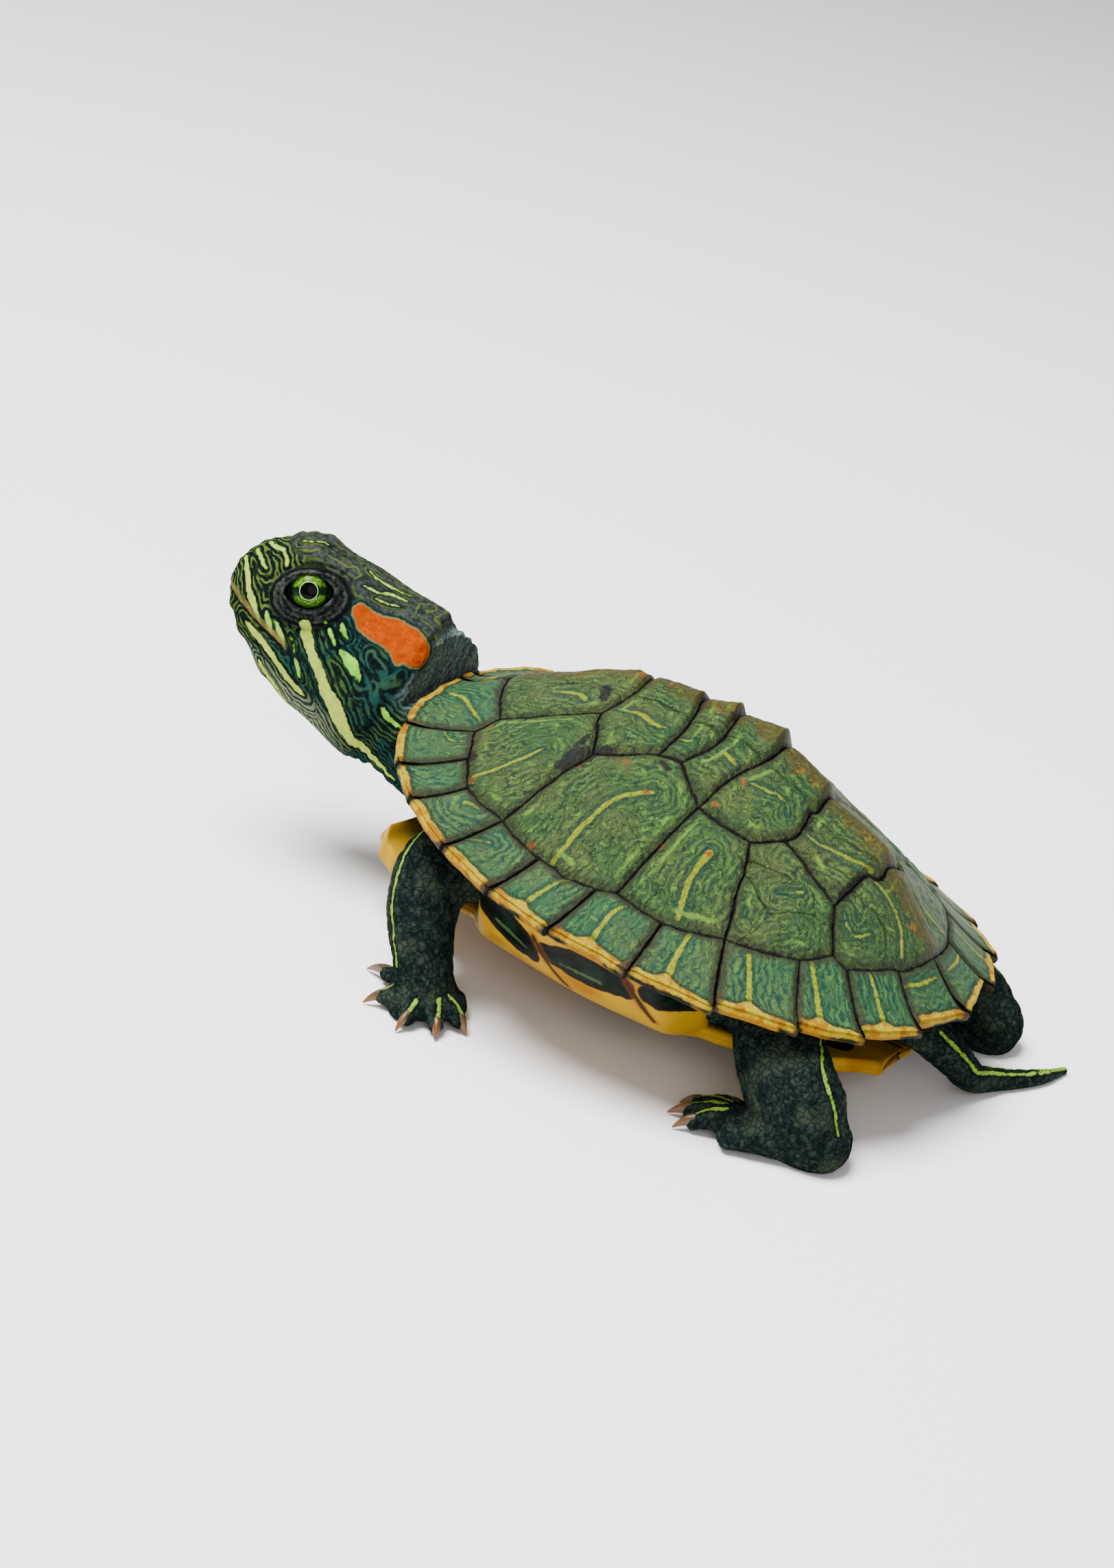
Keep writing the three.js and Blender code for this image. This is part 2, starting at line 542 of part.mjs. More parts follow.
// A block with one face square to the limb's line at its split, to part the upper node from
// the lower one: way 1 covers the lower side, way -1 the upper side and the clearance.
function splitBlock(leg, line, way) {
  const curve = new THREE.CatmullRomCurve3(line.map(([x, y, z]) => V(x, y, z)), false, 'centripetal');
  const point = curve.getPoint(leg.split), t = curve.getTangent(leg.split);
  const width = 9.2;
  const depth = 5;
  const block = new THREE.BoxGeometry(width, width, depth);
  block.translate(0, 0, way * depth / 2 + (way < 0 ? GAP : 0));
  block.applyQuaternion(new THREE.Quaternion().setFromUnitVectors(V(0, 0, 1), t));
  block.translate(point.x, point.y, point.z);
  return solidOf(block);
}

const LIMB_STEPS = 1.6;
const SPLIT_OVERLAP = 0.06;       // the tubes run this share past the split before they are cut
function upperLimb(leg, side, dx, dy) {
  const line = limbLine(leg, side, dx, dy);
  return solidOf(tube(line, { up: mirroredUp(leg, side), steps: LIMB_STEPS, to: leg.split + SPLIT_OVERLAP }))
    .subtract(splitBlock(leg, line, 1));
}

// The lower limb: shank, palm, digits and claws in one body with a flat sole.
function foot(leg, side, dx, dy) {
  const line = limbLine(leg, side, dx, dy);
  const put = ([x, y]) => [x + dx, side * (y + dy)];
  const palm = leg.palm.map(([x, y, lift, a, b]) => {
    const [px, py] = put([x, y]);
    return [px, py, floorAt(px, py) + lift, a, b];
  });
  const parts = [
    tube(line, { up: mirroredUp(leg, side), steps: LIMB_STEPS, from: leg.split - SPLIT_OVERLAP }),
    tube(palm, { sides: 10, steps: 1 }),
  ];
  const [x, y] = put(leg.root);
  for (const [degrees, reach] of leg.digits) {
    const turn = THREE.MathUtils.degToRad(degrees) * side;
    const root = [x + Math.cos(turn) * DIGIT.out, y + Math.sin(turn) * DIGIT.out];
    parts.push(...digit(root, turn, reach - DIGIT.out));
  }
  return union(parts).subtract(splitBlock(leg, line, -1)).subtract(FLOOR);
}

// ---------------------------------------------------------------- head
// Head axes: t runs back from the snout, v to the turtle's left, w up.
const headForward = V(...HEAD.forward).normalize();
const level = V(0, 0, 1).addScaledVector(headForward, -headForward.z).normalize();
const flatLeft = new THREE.Vector3().crossVectors(level, headForward);
const tiltAngle = THREE.MathUtils.degToRad(HEAD.roll);
const headLeft = flatLeft.clone().multiplyScalar(Math.cos(tiltAngle)).addScaledVector(level, Math.sin(tiltAngle));
const headUp = level.clone().multiplyScalar(Math.cos(tiltAngle)).addScaledVector(flatLeft, -Math.sin(tiltAngle));
const inHead = (t, v, w) => V(...HEAD.tip).addScaledVector(headForward, -t * HEAD.scale)
  .addScaledVector(headLeft, v * HEAD.scale).addScaledVector(headUp, w * HEAD.scale);

// The head's upper and lower profiles and its half width, as [t, value].
const HEAD_TOP = [
  [0, 1.75], [0.4, 2.6], [0.9, 3.15], [1.5, 3.7], [2.1, 4.6], [3, 5.2],
  [4, 5.65], [5.5, 5.5], [8.7, 5.8], [11.7, 5.85], [15, 5.9],
];
const HEAD_LOW = [
  [0, -1.3], [0.3, -1.95], [1.1, -2.9], [2.9, -4.0], [6, -5.35], [8.3, -5.85], [12, -5.95], [15, -5.95],
];
const HEAD_HALF = [[0, 1.35], [0.7, 2.1], [2, 2.7], [4, 3.5], [6.6, 4.1], [9, 4.5], [12, 4.95], [15, 5.3]];
const HEAD_SIDES = 20;
const eyeBulge = (t, w) => 0.42 * bump(t - EYE.t, 2.4) * bump(w - EYE.w, 2.0);

const CROWN_POWER = 2.5;          // superellipse powers of the head's section, over and under its waist
const JAW_POWER = 2.15;
function headRing(t, sides = HEAD_SIDES) {
  const top = along(HEAD_TOP, t), low = along(HEAD_LOW, t), half = along(HEAD_HALF, t);
  const waist = lerp(0.4, -0.6, clamp(t / 10, 0, 1));
  return Array.from({ length: sides }, (_, j) => {
    const q = (j / sides) * 2 * Math.PI;
    const c = Math.cos(q), s = Math.sin(q);
    const power = s > 0 ? CROWN_POWER : JAW_POWER;
    const rounded = (value) => Math.sign(value) * Math.abs(value) ** (2 / power);
    const w = waist + rounded(s) * (s > 0 ? top - waist : waist - low);
    const v = rounded(c) * half;
    return inHead(t, v + Math.sign(v) * eyeBulge(t, w), w);
  });
}

const NECK_AXIS = -0.2;           // height of the neck's axis in head axes
function wholeHead() {
  const stations = [0, 0.45, 1.1, 1.9, 2.8, 4, 5.5, 7, 8.8, 10.6, 12.2, HEAD.length];
  const rings = stations.map((t) => headRing(t));
  return solidOf(loft(rings, inHead(-0.4, 0, 0.3), inHead(HEAD.length, 0, NECK_AXIS)));
}

// The mouth line, from the tip of the beak to the corner of the mouth.
const MOUTH = [[-1.5, -1.2], [0.7, -1.5], [2.6, -2.15], [5, -2.25], [7.4, -1.85]];
const MOUTH_FRONT = -1.5, MOUTH_CORNER = 7.4;
function jawSpace(grow) {
  const outline = new THREE.Shape();
  const end = MOUTH_CORNER + grow;
  const low = -9;                   // well under the chin
  outline.moveTo(MOUTH_FRONT, low);
  for (let t = MOUTH_FRONT; t < MOUTH_CORNER; t += 1.1) outline.lineTo(t, along(MOUTH, t) + grow);
  outline.lineTo(end, along(MOUTH, end) + grow);
  outline.lineTo(end + 0.4, -3.4);
  outline.lineTo(end - 0.6, low);
  const width = 16;
  const block = new THREE.ExtrudeGeometry(outline, { depth: width, bevelEnabled: false });
  const position = block.attributes.position;
  for (let i = 0; i < position.count; i++) {
    const p = inHead(position.getX(i), position.getZ(i) - width / 2, position.getY(i));
    position.setXYZ(i, p.x, p.y, p.z);
  }
  return solidOf(block);
}

function eyeball(side, radius) {
  const ball = new THREE.IcosahedronGeometry(radius, 2);
  const p = inHead(EYE.t, side * EYE.v, EYE.w);
  ball.translate(p.x, p.y, p.z);
  return ball;
}

// The neck leaves the shell under the front rim, swings to the left and rises to the head.
const neckEnd = inHead(HEAD.length + GAP, 0, NECK_AXIS);
const NECK = [
  [-15.4, 0.6, -2.6, 6.2, 4.2], [-18.8, 0.0, -2.4, 6.3, 4.5], [-21.6, -0.9, -1.6, 6.2, 5.2],
  [-24.2, -1.9, 0.1, 6.0, 6.1], [neckEnd.x, neckEnd.y, neckEnd.z, 5.6, 6.3],
];
function neck() {
  const rings = [];
  const curve = new THREE.CatmullRomCurve3(NECK.map(([x, y, z]) => V(x, y, z)), false, 'centripetal');
  const count = 8;
  for (let i = 0; i < count; i++) {
    const s = i / count, f = s * (NECK.length - 1), k = Math.floor(f);
    const point = curve.getPoint(s), t = curve.getTangent(s);
    const up = V(0, 0, 1).lerp(headUp, s);
    const across = new THREE.Vector3().crossVectors(t, up).normalize();
    const high = new THREE.Vector3().crossVectors(across, t).normalize();
    const a = lerp(NECK[k][3], NECK[k + 1][3], f - k), b = lerp(NECK[k][4], NECK[k + 1][4], f - k);
    rings.push(Array.from({ length: HEAD_SIDES }, (_, j) => {
      const q = (j / HEAD_SIDES) * 2 * Math.PI;
      return point.clone().addScaledVector(across, -a * Math.cos(q)).addScaledVector(high, b * Math.sin(q));
    }));
  }
  rings.push(headRing(HEAD.length + GAP));
  const start = curve.getPoint(0);
  return solidOf(loft(rings, start, neckEnd));
}

const tailOnFloor = (x, y, radius) => [x, y, floorAt(x, y) + radius * 0.95, radius, radius];
const TAIL = [
  [16.6, 0.3, -2.0, 2.5, 1.6], [20.2, 1.1, -2.4, 2.1, 1.6], [22.6, 2.8, -3.9, 1.5, 1.4], [23.9, 4.7, -5.4, 1.15, 1.1],
  tailOnFloor(25.2, 7.2, 0.85), tailOnFloor(27.0, 10.4, 0.6), tailOnFloor(27.8, 13.4, 0.3),
];

// ---------------------------------------------------------------- assembly
const turtle = new THREE.Group();
const materials = {};
for (const [name, color] of Object.entries(COLORS)) {
  materials[name] = new THREE.MeshStandardMaterial({ color, roughness: name === 'eye' ? 0.08 : 0.5, metalness: 0 });
}
function node(name, geometry, material) {
  const mesh = new THREE.Mesh(geometry, materials[material]);
  mesh.name = name;
  geometry.computeVertexNormals();
  turtle.add(mesh);
}
function mirrored(geometry) {
  const points = [];
  const position = geometry.attributes.position;
  for (let i = 0; i < position.count; i++) points.push(V(position.getX(i), -position.getY(i), position.getZ(i)));
  const index = geometry.index.array, faces = [];
  for (let i = 0; i < index.length; i += 3) faces.push([index[i], index[i + 1], index[i + 2]]);
  return geometryOf(points, faces);
}

node('cervical', cervical(), 'rim');
for (let n = 0; n < 7; n++) node(`vertebral_${n + 1}`, plate(vertebral(n), [0.66]), 'carapace');
for (let n = 0; n < 4; n++) {
  const left = plate(costal(n), [0.55]);
  node(`costal_left_${n + 1}`, left, 'carapace');
  node(`costal_right_${n + 1}`, mirrored(left), 'carapace');
}
for (let k = 1; k <= 12; k++) {
  node(`marginal_left_${k}`, marginal(k, 1), 'rim');
  node(`marginal_right_${k}`, mirrored(marginal(k, 1)), 'rim');
}
node('plastron', plastron(0), 'plastron');
node('bridge_left', bridge(-1), 'plastron');
node('bridge_right', bridge(1), 'plastron');
node('trunk', trunk(), 'skin');

const shell = shellSpace();
const under = solidOf(plastron(GAP));
const clearOf = (solid) => solid.subtract(shell).subtract(under);

const headSolid = wholeHead();
let skull = headSolid.subtract(jawSpace(GAP));
const jaw = headSolid.intersect(jawSpace(0));
for (const side of [1, -1]) skull = skull.subtract(solidOf(eyeball(side, EYE.radius + GAP)));
node('head', geometryOfSolid(skull), 'skin');
node('jaw', geometryOfSolid(jaw), 'skin');
node('eye_left', bareMesh(eyeball(1, EYE.radius)), 'eye');
node('eye_right', bareMesh(eyeball(-1, EYE.radius)), 'eye');
node('neck', geometryOfSolid(clearOf(neck())), 'skin');

const LIMBS = [
  ['foreleg_left', FORELEG, 1, 0, 0], ['foreleg_right', FORELEG, -1, -1.4, 0.3],
  ['hindleg_left', HINDLEG, 1, 0, 0], ['hindleg_right', HINDLEG, -1, 1.0, -0.4],
];
for (const [name, leg, side, dx, dy] of LIMBS) {
  node(`${name}_upper`, geometryOfSolid(clearOf(upperLimb(leg, side, dx, dy))), 'skin');
  node(`${name}_foot`, geometryOfSolid(clearOf(foot(leg, side, dx, dy))), 'skin');
}
node('tail', geometryOfSolid(clearOf(solidOf(tube(TAIL, { sides: 8, steps: 1 })).subtract(FLOOR))), 'skin');

// Stand the turtle on its feet: nose up, soles on z = 0, the footprint box centred on the origin.
turtle.rotation.set(LEAN, PITCH, 0);
turtle.position.z = STANCE * Math.cos(PITCH) * Math.cos(LEAN);
turtle.updateMatrixWorld(true);
const box = new THREE.Box3().setFromObject(turtle, true);
turtle.position.x = -(box.min.x + box.max.x) / 2;
turtle.position.y = -(box.min.y + box.max.y) / 2;

export default turtle;
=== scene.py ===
"""A young red-eared slider turtle, standing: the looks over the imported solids.

Shapes are worked out in millimetres in the shell's own axes (head to -X, the turtle's left side to -Y,
+Z up), as part.mjs does, and `to_row` turns them into the row frame in metres.
"""
import math

import bpy
import numpy as np
import openvdb
from mathutils import Matrix, Vector


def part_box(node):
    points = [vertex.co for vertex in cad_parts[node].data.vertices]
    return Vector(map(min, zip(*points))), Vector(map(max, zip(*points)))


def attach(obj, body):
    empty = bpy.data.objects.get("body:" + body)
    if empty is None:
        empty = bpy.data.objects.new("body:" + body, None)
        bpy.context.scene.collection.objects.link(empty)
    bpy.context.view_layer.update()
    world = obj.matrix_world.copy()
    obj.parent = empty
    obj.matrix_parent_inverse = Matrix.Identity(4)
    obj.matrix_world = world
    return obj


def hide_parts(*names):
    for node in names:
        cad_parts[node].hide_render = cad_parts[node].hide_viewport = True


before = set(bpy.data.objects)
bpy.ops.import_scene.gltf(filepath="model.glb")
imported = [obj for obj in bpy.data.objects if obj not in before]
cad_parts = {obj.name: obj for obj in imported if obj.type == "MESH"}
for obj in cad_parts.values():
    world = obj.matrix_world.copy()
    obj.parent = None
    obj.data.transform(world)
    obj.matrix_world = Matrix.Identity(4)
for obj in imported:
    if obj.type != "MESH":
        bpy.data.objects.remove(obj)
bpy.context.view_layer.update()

# ---------------------------------------------------------------- driving dimensions (mm)
MM = 0.001
SHELL_LENGTH, SHELL_WIDTH, SHELL_CENTRE = 45.0, 40.3, -0.5
OUTLINE_POWER, REAR_TAPER = 2.4, 0.056
DOME_HEIGHT, DOME_POWER, DOME_SHOULDER, DOME_SKEW = 9.4, 1.9, 1.343, -0.02
ROOF_HEIGHT, ROOF_WIDTH, RIDGE_ROUNDING = 3.0, 4.14, 0.33
FRONT_RISE, REAR_RISE = 3.4, 1.2
KEEL_KNOB, KEEL_WIDTH, KEEL_SPREAD = 0.55, 1.7, 7
PITCH, LEAN = math.radians(8.75), math.radians(-3.8)
STANCE = 10.83                    # from the shell axes' origin down to the floor
PLATE_THICKNESS, RIM_THICKNESS = 0.9, 0.85

HEAD_LENGTH, HEAD_SCALE, HEAD_ROLL = 13.6, 1.065, math.radians(12)
HEAD_TIP = np.array([-39.8, -7.3, 4.8])
HEAD_FORWARD = np.array([-0.915, -0.313, 0.257])
EYE_PLACE, EYE_RADIUS = np.array([5.25, 2.6, 2.15]), 2.1
FAR = 9.0                         # a distance that means "not near"


# ---------------------------------------------------------------- frames and small helpers
def unit(v):
    v = np.asarray(v, float)
    return v / np.linalg.norm(v, axis=-1, keepdims=True)


def smooth(x, low, high):
    f = np.clip((x - low) / (high - low), 0, 1)
    return f * f * (3 - 2 * f)


def bump(d, width):
    return np.exp(-((d / width) ** 2))


def along(knots, s):
    """The value at s on a line of (position, value) knots, eased between them."""
    xs = np.array([k[0] for k in knots], float)
    ys = np.array([k[1] for k in knots], float)
    s = np.clip(s, xs[0], xs[-1])
    i = np.clip(np.searchsorted(xs, s) - 1, 0, len(xs) - 2)
    f = (s - xs[i]) / (xs[i + 1] - xs[i])
    return ys[i] + (ys[i + 1] - ys[i]) * f * f * (3 - 2 * f)


head_forward = unit(HEAD_FORWARD)
_level = unit(np.array([0, 0, 1.0]) - head_forward * head_forward[2])
_flat_left = np.cross(_level, head_forward)
head_left = _flat_left * math.cos(HEAD_ROLL) + _level * math.sin(HEAD_ROLL)
head_up = _level * math.cos(HEAD_ROLL) - _flat_left * math.sin(HEAD_ROLL)


def from_head(t, v, w):
    """Head axes (t back from the snout, v to the left, w up) to shell axes."""
    t, v, w = (np.asarray(a, float)[..., None] for a in (t, v, w))
    return HEAD_TIP + HEAD_SCALE * (-head_forward * t + head_left * v + head_up * w)


def to_head(p):
    """Shell axes to head axes."""
    d = (p - HEAD_TIP) / HEAD_SCALE
    return -d @ head_forward, d @ head_left, d @ head_up


tilt = np.array(Matrix.Rotation(LEAN, 3, "X") @ Matrix.Rotation(PITCH, 3, "Y"))
_eye_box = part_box("eye_left")
_eye_in_row = (np.array(_eye_box[0]) + np.array(_eye_box[1])) / 2 / MM
offset = _eye_in_row - tilt @ from_head(*EYE_PLACE)


def to_row(p):
    """Shell axes in mm to the row frame in metres."""
    return (np.asarray(p, float) @ tilt.T + offset) * MM


# ---------------------------------------------------------------- noise
def _hash(i, j, k, seed):
    n = (i * 374761393 + j * 668265263 + k * 1440662683 + seed * 1274126177) & 0xFFFFFFFF
    n = ((n ^ (n >> 13)) * 1103515245) & 0xFFFFFFFF
    return ((n ^ (n >> 16)) & 0xFFFFFF) / 0xFFFFFF


def value_noise(p, seed=0):
    """Smooth noise from -1 to 1, one feature to a unit length."""
    cell = np.floor(p).astype(np.int64)
    f = p - cell
    f = f * f * (3 - 2 * f)
    total = np.zeros(len(p))
    for dx in (0, 1):
        for dy in (0, 1):
            for dz in (0, 1):
                corner = _hash(cell[:, 0] + dx, cell[:, 1] + dy, cell[:, 2] + dz, seed)
                total += (corner * (f[:, 0] if dx else 1 - f[:, 0]) * (f[:, 1] if dy else 1 - f[:, 1])
                          * (f[:, 2] if dz else 1 - f[:, 2]))
    return total * 2 - 1


def cells(p, seed=0):
    """Distance to the edge between the two nearest cells (0 at the edge), and a number for each cell."""
    base = np.floor(p).astype(np.int64)
    near = np.full((2, len(p)), FAR)
    label = np.zeros(len(p))
    for dx in (-1, 0, 1):
        for dy in (-1, 0, 1):
            for dz in (-1, 0, 1):
                c = base + (dx, dy, dz)
                spread = [_hash(c[:, 0], c[:, 1], c[:, 2], seed + a) for a in range(3)]
                point = c + 0.15 + 0.7 * np.stack(spread, 1)
                d = np.linalg.norm(p - point, axis=1)
                closer = d < near[0]
                near[1] = np.where(closer, near[0], np.minimum(near[1], d))
                label = np.where(closer, _hash(c[:, 0], c[:, 1], c[:, 2], seed + 7), label)
                near[0] = np.where(closer, d, near[0])
    return near[1] - near[0], label


# ---------------------------------------------------------------- node materials
LIGHT_LEVEL = 3.2                 # light on an upward face, where 1 makes white paint come out as white paint


def seen(red, green, blue):
    """The paint that comes out as this colour, from 0 to 255, under this light and view transform."""
    c = np.array([red, green, blue]) / 255
    light = 0.27 * c ** 1.3 / (1 - c) * (1 + 0.5 * c ** 6)
    light = light.mean() + 1.15 * (light - light.mean())
    return (*np.clip(light / LIGHT_LEVEL, 0.0006, 0.85).tolist(), 1.0)


class Value:
    """What a node gives at each place of a surface: a number, a colour or a vector."""

    def __init__(self, look, socket):
        self.look, self.socket = look, socket

    def __add__(self, other):
        return self.look.math("ADD", self, other)

    def __mul__(self, other):
        return self.look.math("MULTIPLY", self, other)

    def __sub__(self, other):
        return self + other * -1.0

    def __rsub__(self, other):
        return self * -1.0 + other

    def __abs__(self):
        return self.look.math("ABSOLUTE", self)

    def wave(self, period):
        """A sine of this number, from 0 to 1."""
        return self.look.math("SINE", self * (2 * math.pi / period)) * 0.5 + 0.5

    def ease(self, low, high):
        """0 at low, 1 at high, smooth between (low may be the larger)."""
        return self.look.node("MapRange", {0: self, 1: low, 2: high}, interpolation_type="SMOOTHSTEP")

    def pick(self, at_zero, at_one):
        """One colour where this number is 0, turning to the other where it is 1."""
        return self.look.node("Mix", {0: self, 6: at_zero, 7: at_one}, output=2, data_type="RGBA")

    def paint(self, colour, share):
        """This colour with another over it."""
        return share.pick(self, colour)


class Look:
    """A node material; look["name"] is the field of that name stored on the vertices."""

    def __init__(self, name, **constants):
        self.material = bpy.data.materials.new(name)
        self.material.use_nodes = True
        self.tree = self.material.node_tree
        self.shader = self.tree.nodes["Principled BSDF"]
        for socket, value in constants.items():
            self.shader.inputs[socket.replace("_", " ")].default_value = value
        in_metres = self.node("TexCoord", {}, output="Object")
        self.place = self.node("VectorMath", {0: in_metres, "Scale": 1 / MM}, operation="SCALE")

    def __getitem__(self, name):
        return self.node("Attribute", {}, output="Fac", attribute_name=name)

    def put(self, value, socket):
        if isinstance(value, Value):
            self.tree.links.new(value.socket, socket)
        else:
            socket.default_value = value

    def node(self, kind, inputs, output=0, **settings):
        """The output of a new node; `inputs` go by a socket's number or name."""
        node = self.tree.nodes.new("ShaderNode" + kind)
        for key, value in settings.items():
            setattr(node, key, value)
        for key, value in inputs.items():
            self.put(value, node.inputs[key])
        return Value(self, node.outputs[output])

    def math(self, operation, *values):
        return self.node("Math", dict(enumerate(values)), operation=operation)

    def vector(self, x, y, z):
        return self.node("CombineXYZ", {0: x, 1: y, 2: z})

    def noise(self, scale, detail=2.0, rough=0.5, place=None):
        """Noise about 0, mostly from -0.25 to 0.25, with `scale` features to a millimetre."""
        inputs = {"Vector": place or self.place, "Scale": scale, "Detail": detail, "Roughness": rough}
        return self.node("TexNoise", inputs, output="Fac") - 0.5

    def cells(self, scale, feature):
        inputs = {"Vector": self.place, "Scale": scale}
        return self.node("TexVoronoi", inputs, output="Distance", feature=feature)

    def finish(self, colour, rough, height=None, depth=0.0):
        """Connect the shader; `height` from 0 to 1 stands for `depth` mm of relief."""
        self.put(colour, self.shader.inputs["Base Color"])
        self.put(rough, self.shader.inputs["Roughness"])
        if height is not None:
            relief = self.node("Bump", {"Distance": depth * MM, "Height": height})
            self.put(relief, self.shader.inputs["Normal"])
        return self.material


NEAR_BLACK, SEAM_BROWN = seen(28, 27, 24), seen(62, 58, 40)
SLATE, DARK_SLATE = seen(66, 66, 76), seen(40, 42, 46)
LEAF, OLIVE, DEEP_GREEN = seen(84, 120, 74), seen(112, 128, 80), seen(36, 60, 42)
BLUE_GREEN, LIME, HIGHLIGHT_GREEN = seen(34, 84, 74), seen(148, 178, 94), seen(168, 178, 116)
RIM_LEAF, RIM_BLUE = seen(84, 126, 84), seen(68, 128, 106)
RIM_BROWN, RIM_SMUDGE = seen(84, 88, 70), seen(122, 104, 70)
STRAW, DULL_STRAW = (0.24, 0.26, 0.006, 1), (0.11, 0.14, 0.01, 1)
GOLD, RIM_YELLOW = (0.25, 0.105, 0.002, 1), (0.35, 0.24, 0.008, 1)
BELLY_YELLOW, BELLY_AMBER, BELLY_DARK_AND_SHADE = (0.33, 0.19, 0.006, 1), (0.25, 0.105, 0.003, 1), seen(26, 34, 26)
ORANGE_BROWN, EARTH = (0.2, 0.055, 0.01, 1), seen(120, 98, 50)
EAR_ORANGE, EAR_LIGHT, EAR_FRINGE = (0.24, 0.029, 0.0004, 1), (0.32, 0.048, 0.0005, 1), seen(150, 140, 92)
CREAM, DULL_CREAM = (0.36, 0.43, 0.05, 1), (0.26, 0.36, 0.05, 1)
STRIPE_GREEN, STRIPE_LIME = (0.09, 0.3, 0.02, 1), (0.2, 0.5, 0.03, 1)
PUPIL = 0.44                      # the pupil's radius as a share of the iris


def shell_colour(look, blue_share, leaf):
    """The green of a plate with its fine lines and its yellow stripe, and the relief that goes with them."""
    grain = look.noise(4.5, 4.0, 0.7)
    lines = (look["flow"] + look.noise(0.8, 3.0) * 1.3).wave(0.5)
    patchy = look.noise(0.4, 1.0).ease(-0.14, 0.1)
    # flecks: noise drawn out along the stripes
    across = (look["flow"] + look.noise(1.44) * 1.6) * 5.44
    fleck = look.noise(1.0, 3.0, 0.6, look.vector(across, look["run"] * 1.632, look.noise(0.5) * 2.0))
    colour = look.noise(0.22).ease(-0.1, 0.14).pick(leaf, OLIVE)
    colour = colour.paint(BLUE_GREEN, lines.ease(0.5, 0.9) * patchy * blue_share)
    colour = colour.paint(LIME, lines.ease(0.4, 0.05) * patchy * 0.3)
    colour = colour.paint(LIME, fleck.ease(0.05, 0.17) * 0.7)
    colour = colour.paint(DEEP_GREEN, fleck.ease(-0.04, -0.16) * 0.85)
    # lighter on the raised grain and darker in its hollows: painted highlight and shade of the grain
    colour = colour.paint(HIGHLIGHT_GREEN, grain.ease(0.1, 0.25) * 0.5)
    colour = colour.paint(DEEP_GREEN, grain.ease(-0.1, -0.25) * 0.6)
    # the stripe, in a darker border
    ragged = look["stripe"] + look.noise(2.6, 3.0) * 0.3
    colour = colour.paint(BLUE_GREEN, ragged.ease(0.4, 0.14) * 0.6)
    colour = colour.paint(grain.ease(-0.15, 0.2).pick(STRAW, DULL_STRAW), ragged.ease(0.02, -0.1))
    return colour, fleck * 1.7 + (lines * 0.3 + grain * 0.9)


def finish_plate(look, colour, relief, depth):
    """Brown toward the plate's edges and near black in the seams."""
    edge, uneven = look["edge"], look.noise(1.3, 3.0)
    colour = colour.paint(SEAM_BROWN, (edge + uneven * 0.9).ease(0.7, 0.2) * 0.5)
    colour = colour.paint(NEAR_BLACK, (edge + uneven * 0.3).ease(0.13, 0.03))
    return look.finish(colour, relief * 0.15 + 0.42, relief, depth)


def carapace_look():
    look = Look("carapace", Specular_IOR_Level=0.1)
    colour, relief = shell_colour(look, 0.6, LEAF)
    ring = abs(look["edge"] - 0.85 + look.noise(1.2) * 0.5)
    colour = colour.paint(LIME, ring.ease(0.2, 0.05) * (look.noise(0.5, 1.0) * 3.0).ease(0.1, 0.5))
    # worn and earthy along the keel
    keel = (look["keel"] + look.noise(0.9, 3.0) * 3.0).ease(1.6, 0.5)
    colour = colour.paint(EARTH, keel * 0.65)
    colour = colour.paint(GOLD, keel * look.noise(1.1, 3.0).ease(0.1, 0.2) * 0.6)
    # specks, and patches of old skin
    ragged = look.noise(2.0, 4.0) * 0.9
    colour = colour.paint(ORANGE_BROWN, (look["spot"] + ragged).ease(0.12, -0.06) * 0.85)
    mottled = look.noise(4.0, 3.0).ease(0.0, 0.25).pick(DARK_SLATE, SLATE)
    colour = colour.paint(mottled, (look["dark"] + ragged).ease(0.1, -0.05) * 0.9)
    return finish_plate(look, colour, relief, 0.17)


def rim_look():
    look = Look("rim", Specular_IOR_Level=0.05)
    edge, stripe, rim = look["edge"], look["stripe"], look["rim"]
    colour, relief = shell_colour(look, 0.95, RIM_LEAF)
    colour = colour.paint(RIM_BLUE, stripe.ease(0.0, 0.3) * 0.25)
    colour = colour.paint(RIM_BROWN, (edge + look.noise(1.5) * 0.8).ease(0.7, 0.25) * 0.6)
    # the yellow border swells where the central stripe meets it and fades at the plate's corners
    swell = stripe.ease(0.8, -0.2) * 0.4
    band = rim - swell + look.noise(1.1, 3.0) * 0.5
    gold = look.noise(0.9, 3.0).ease(-0.04, 0.12).pick(RIM_YELLOW, GOLD)
    colour = colour.paint(DEEP_GREEN, band.ease(0.8, 0.66) * 0.6)
    colour = colour.paint(gold, band.ease(0.5, 0.4))
    # underneath the rim: amber with dark blotches, its own marks, made darker as painted shade under the rim
    below = look.noise(0.4).ease(-0.06, 0.04).pick(BELLY_AMBER, BELLY_DARK_AND_SHADE)
    colour = colour.paint(below, (look["under"] + look.noise(1.4) * 0.5).ease(0.35, 0.6))
    smudge = (edge + look.noise(1.2) * 1.6).ease(0.5, 0.15)
    colour = colour.paint(RIM_SMUDGE, smudge * rim.ease(1.5, 0.3))
    return finish_plate(look, colour, relief, 0.1)


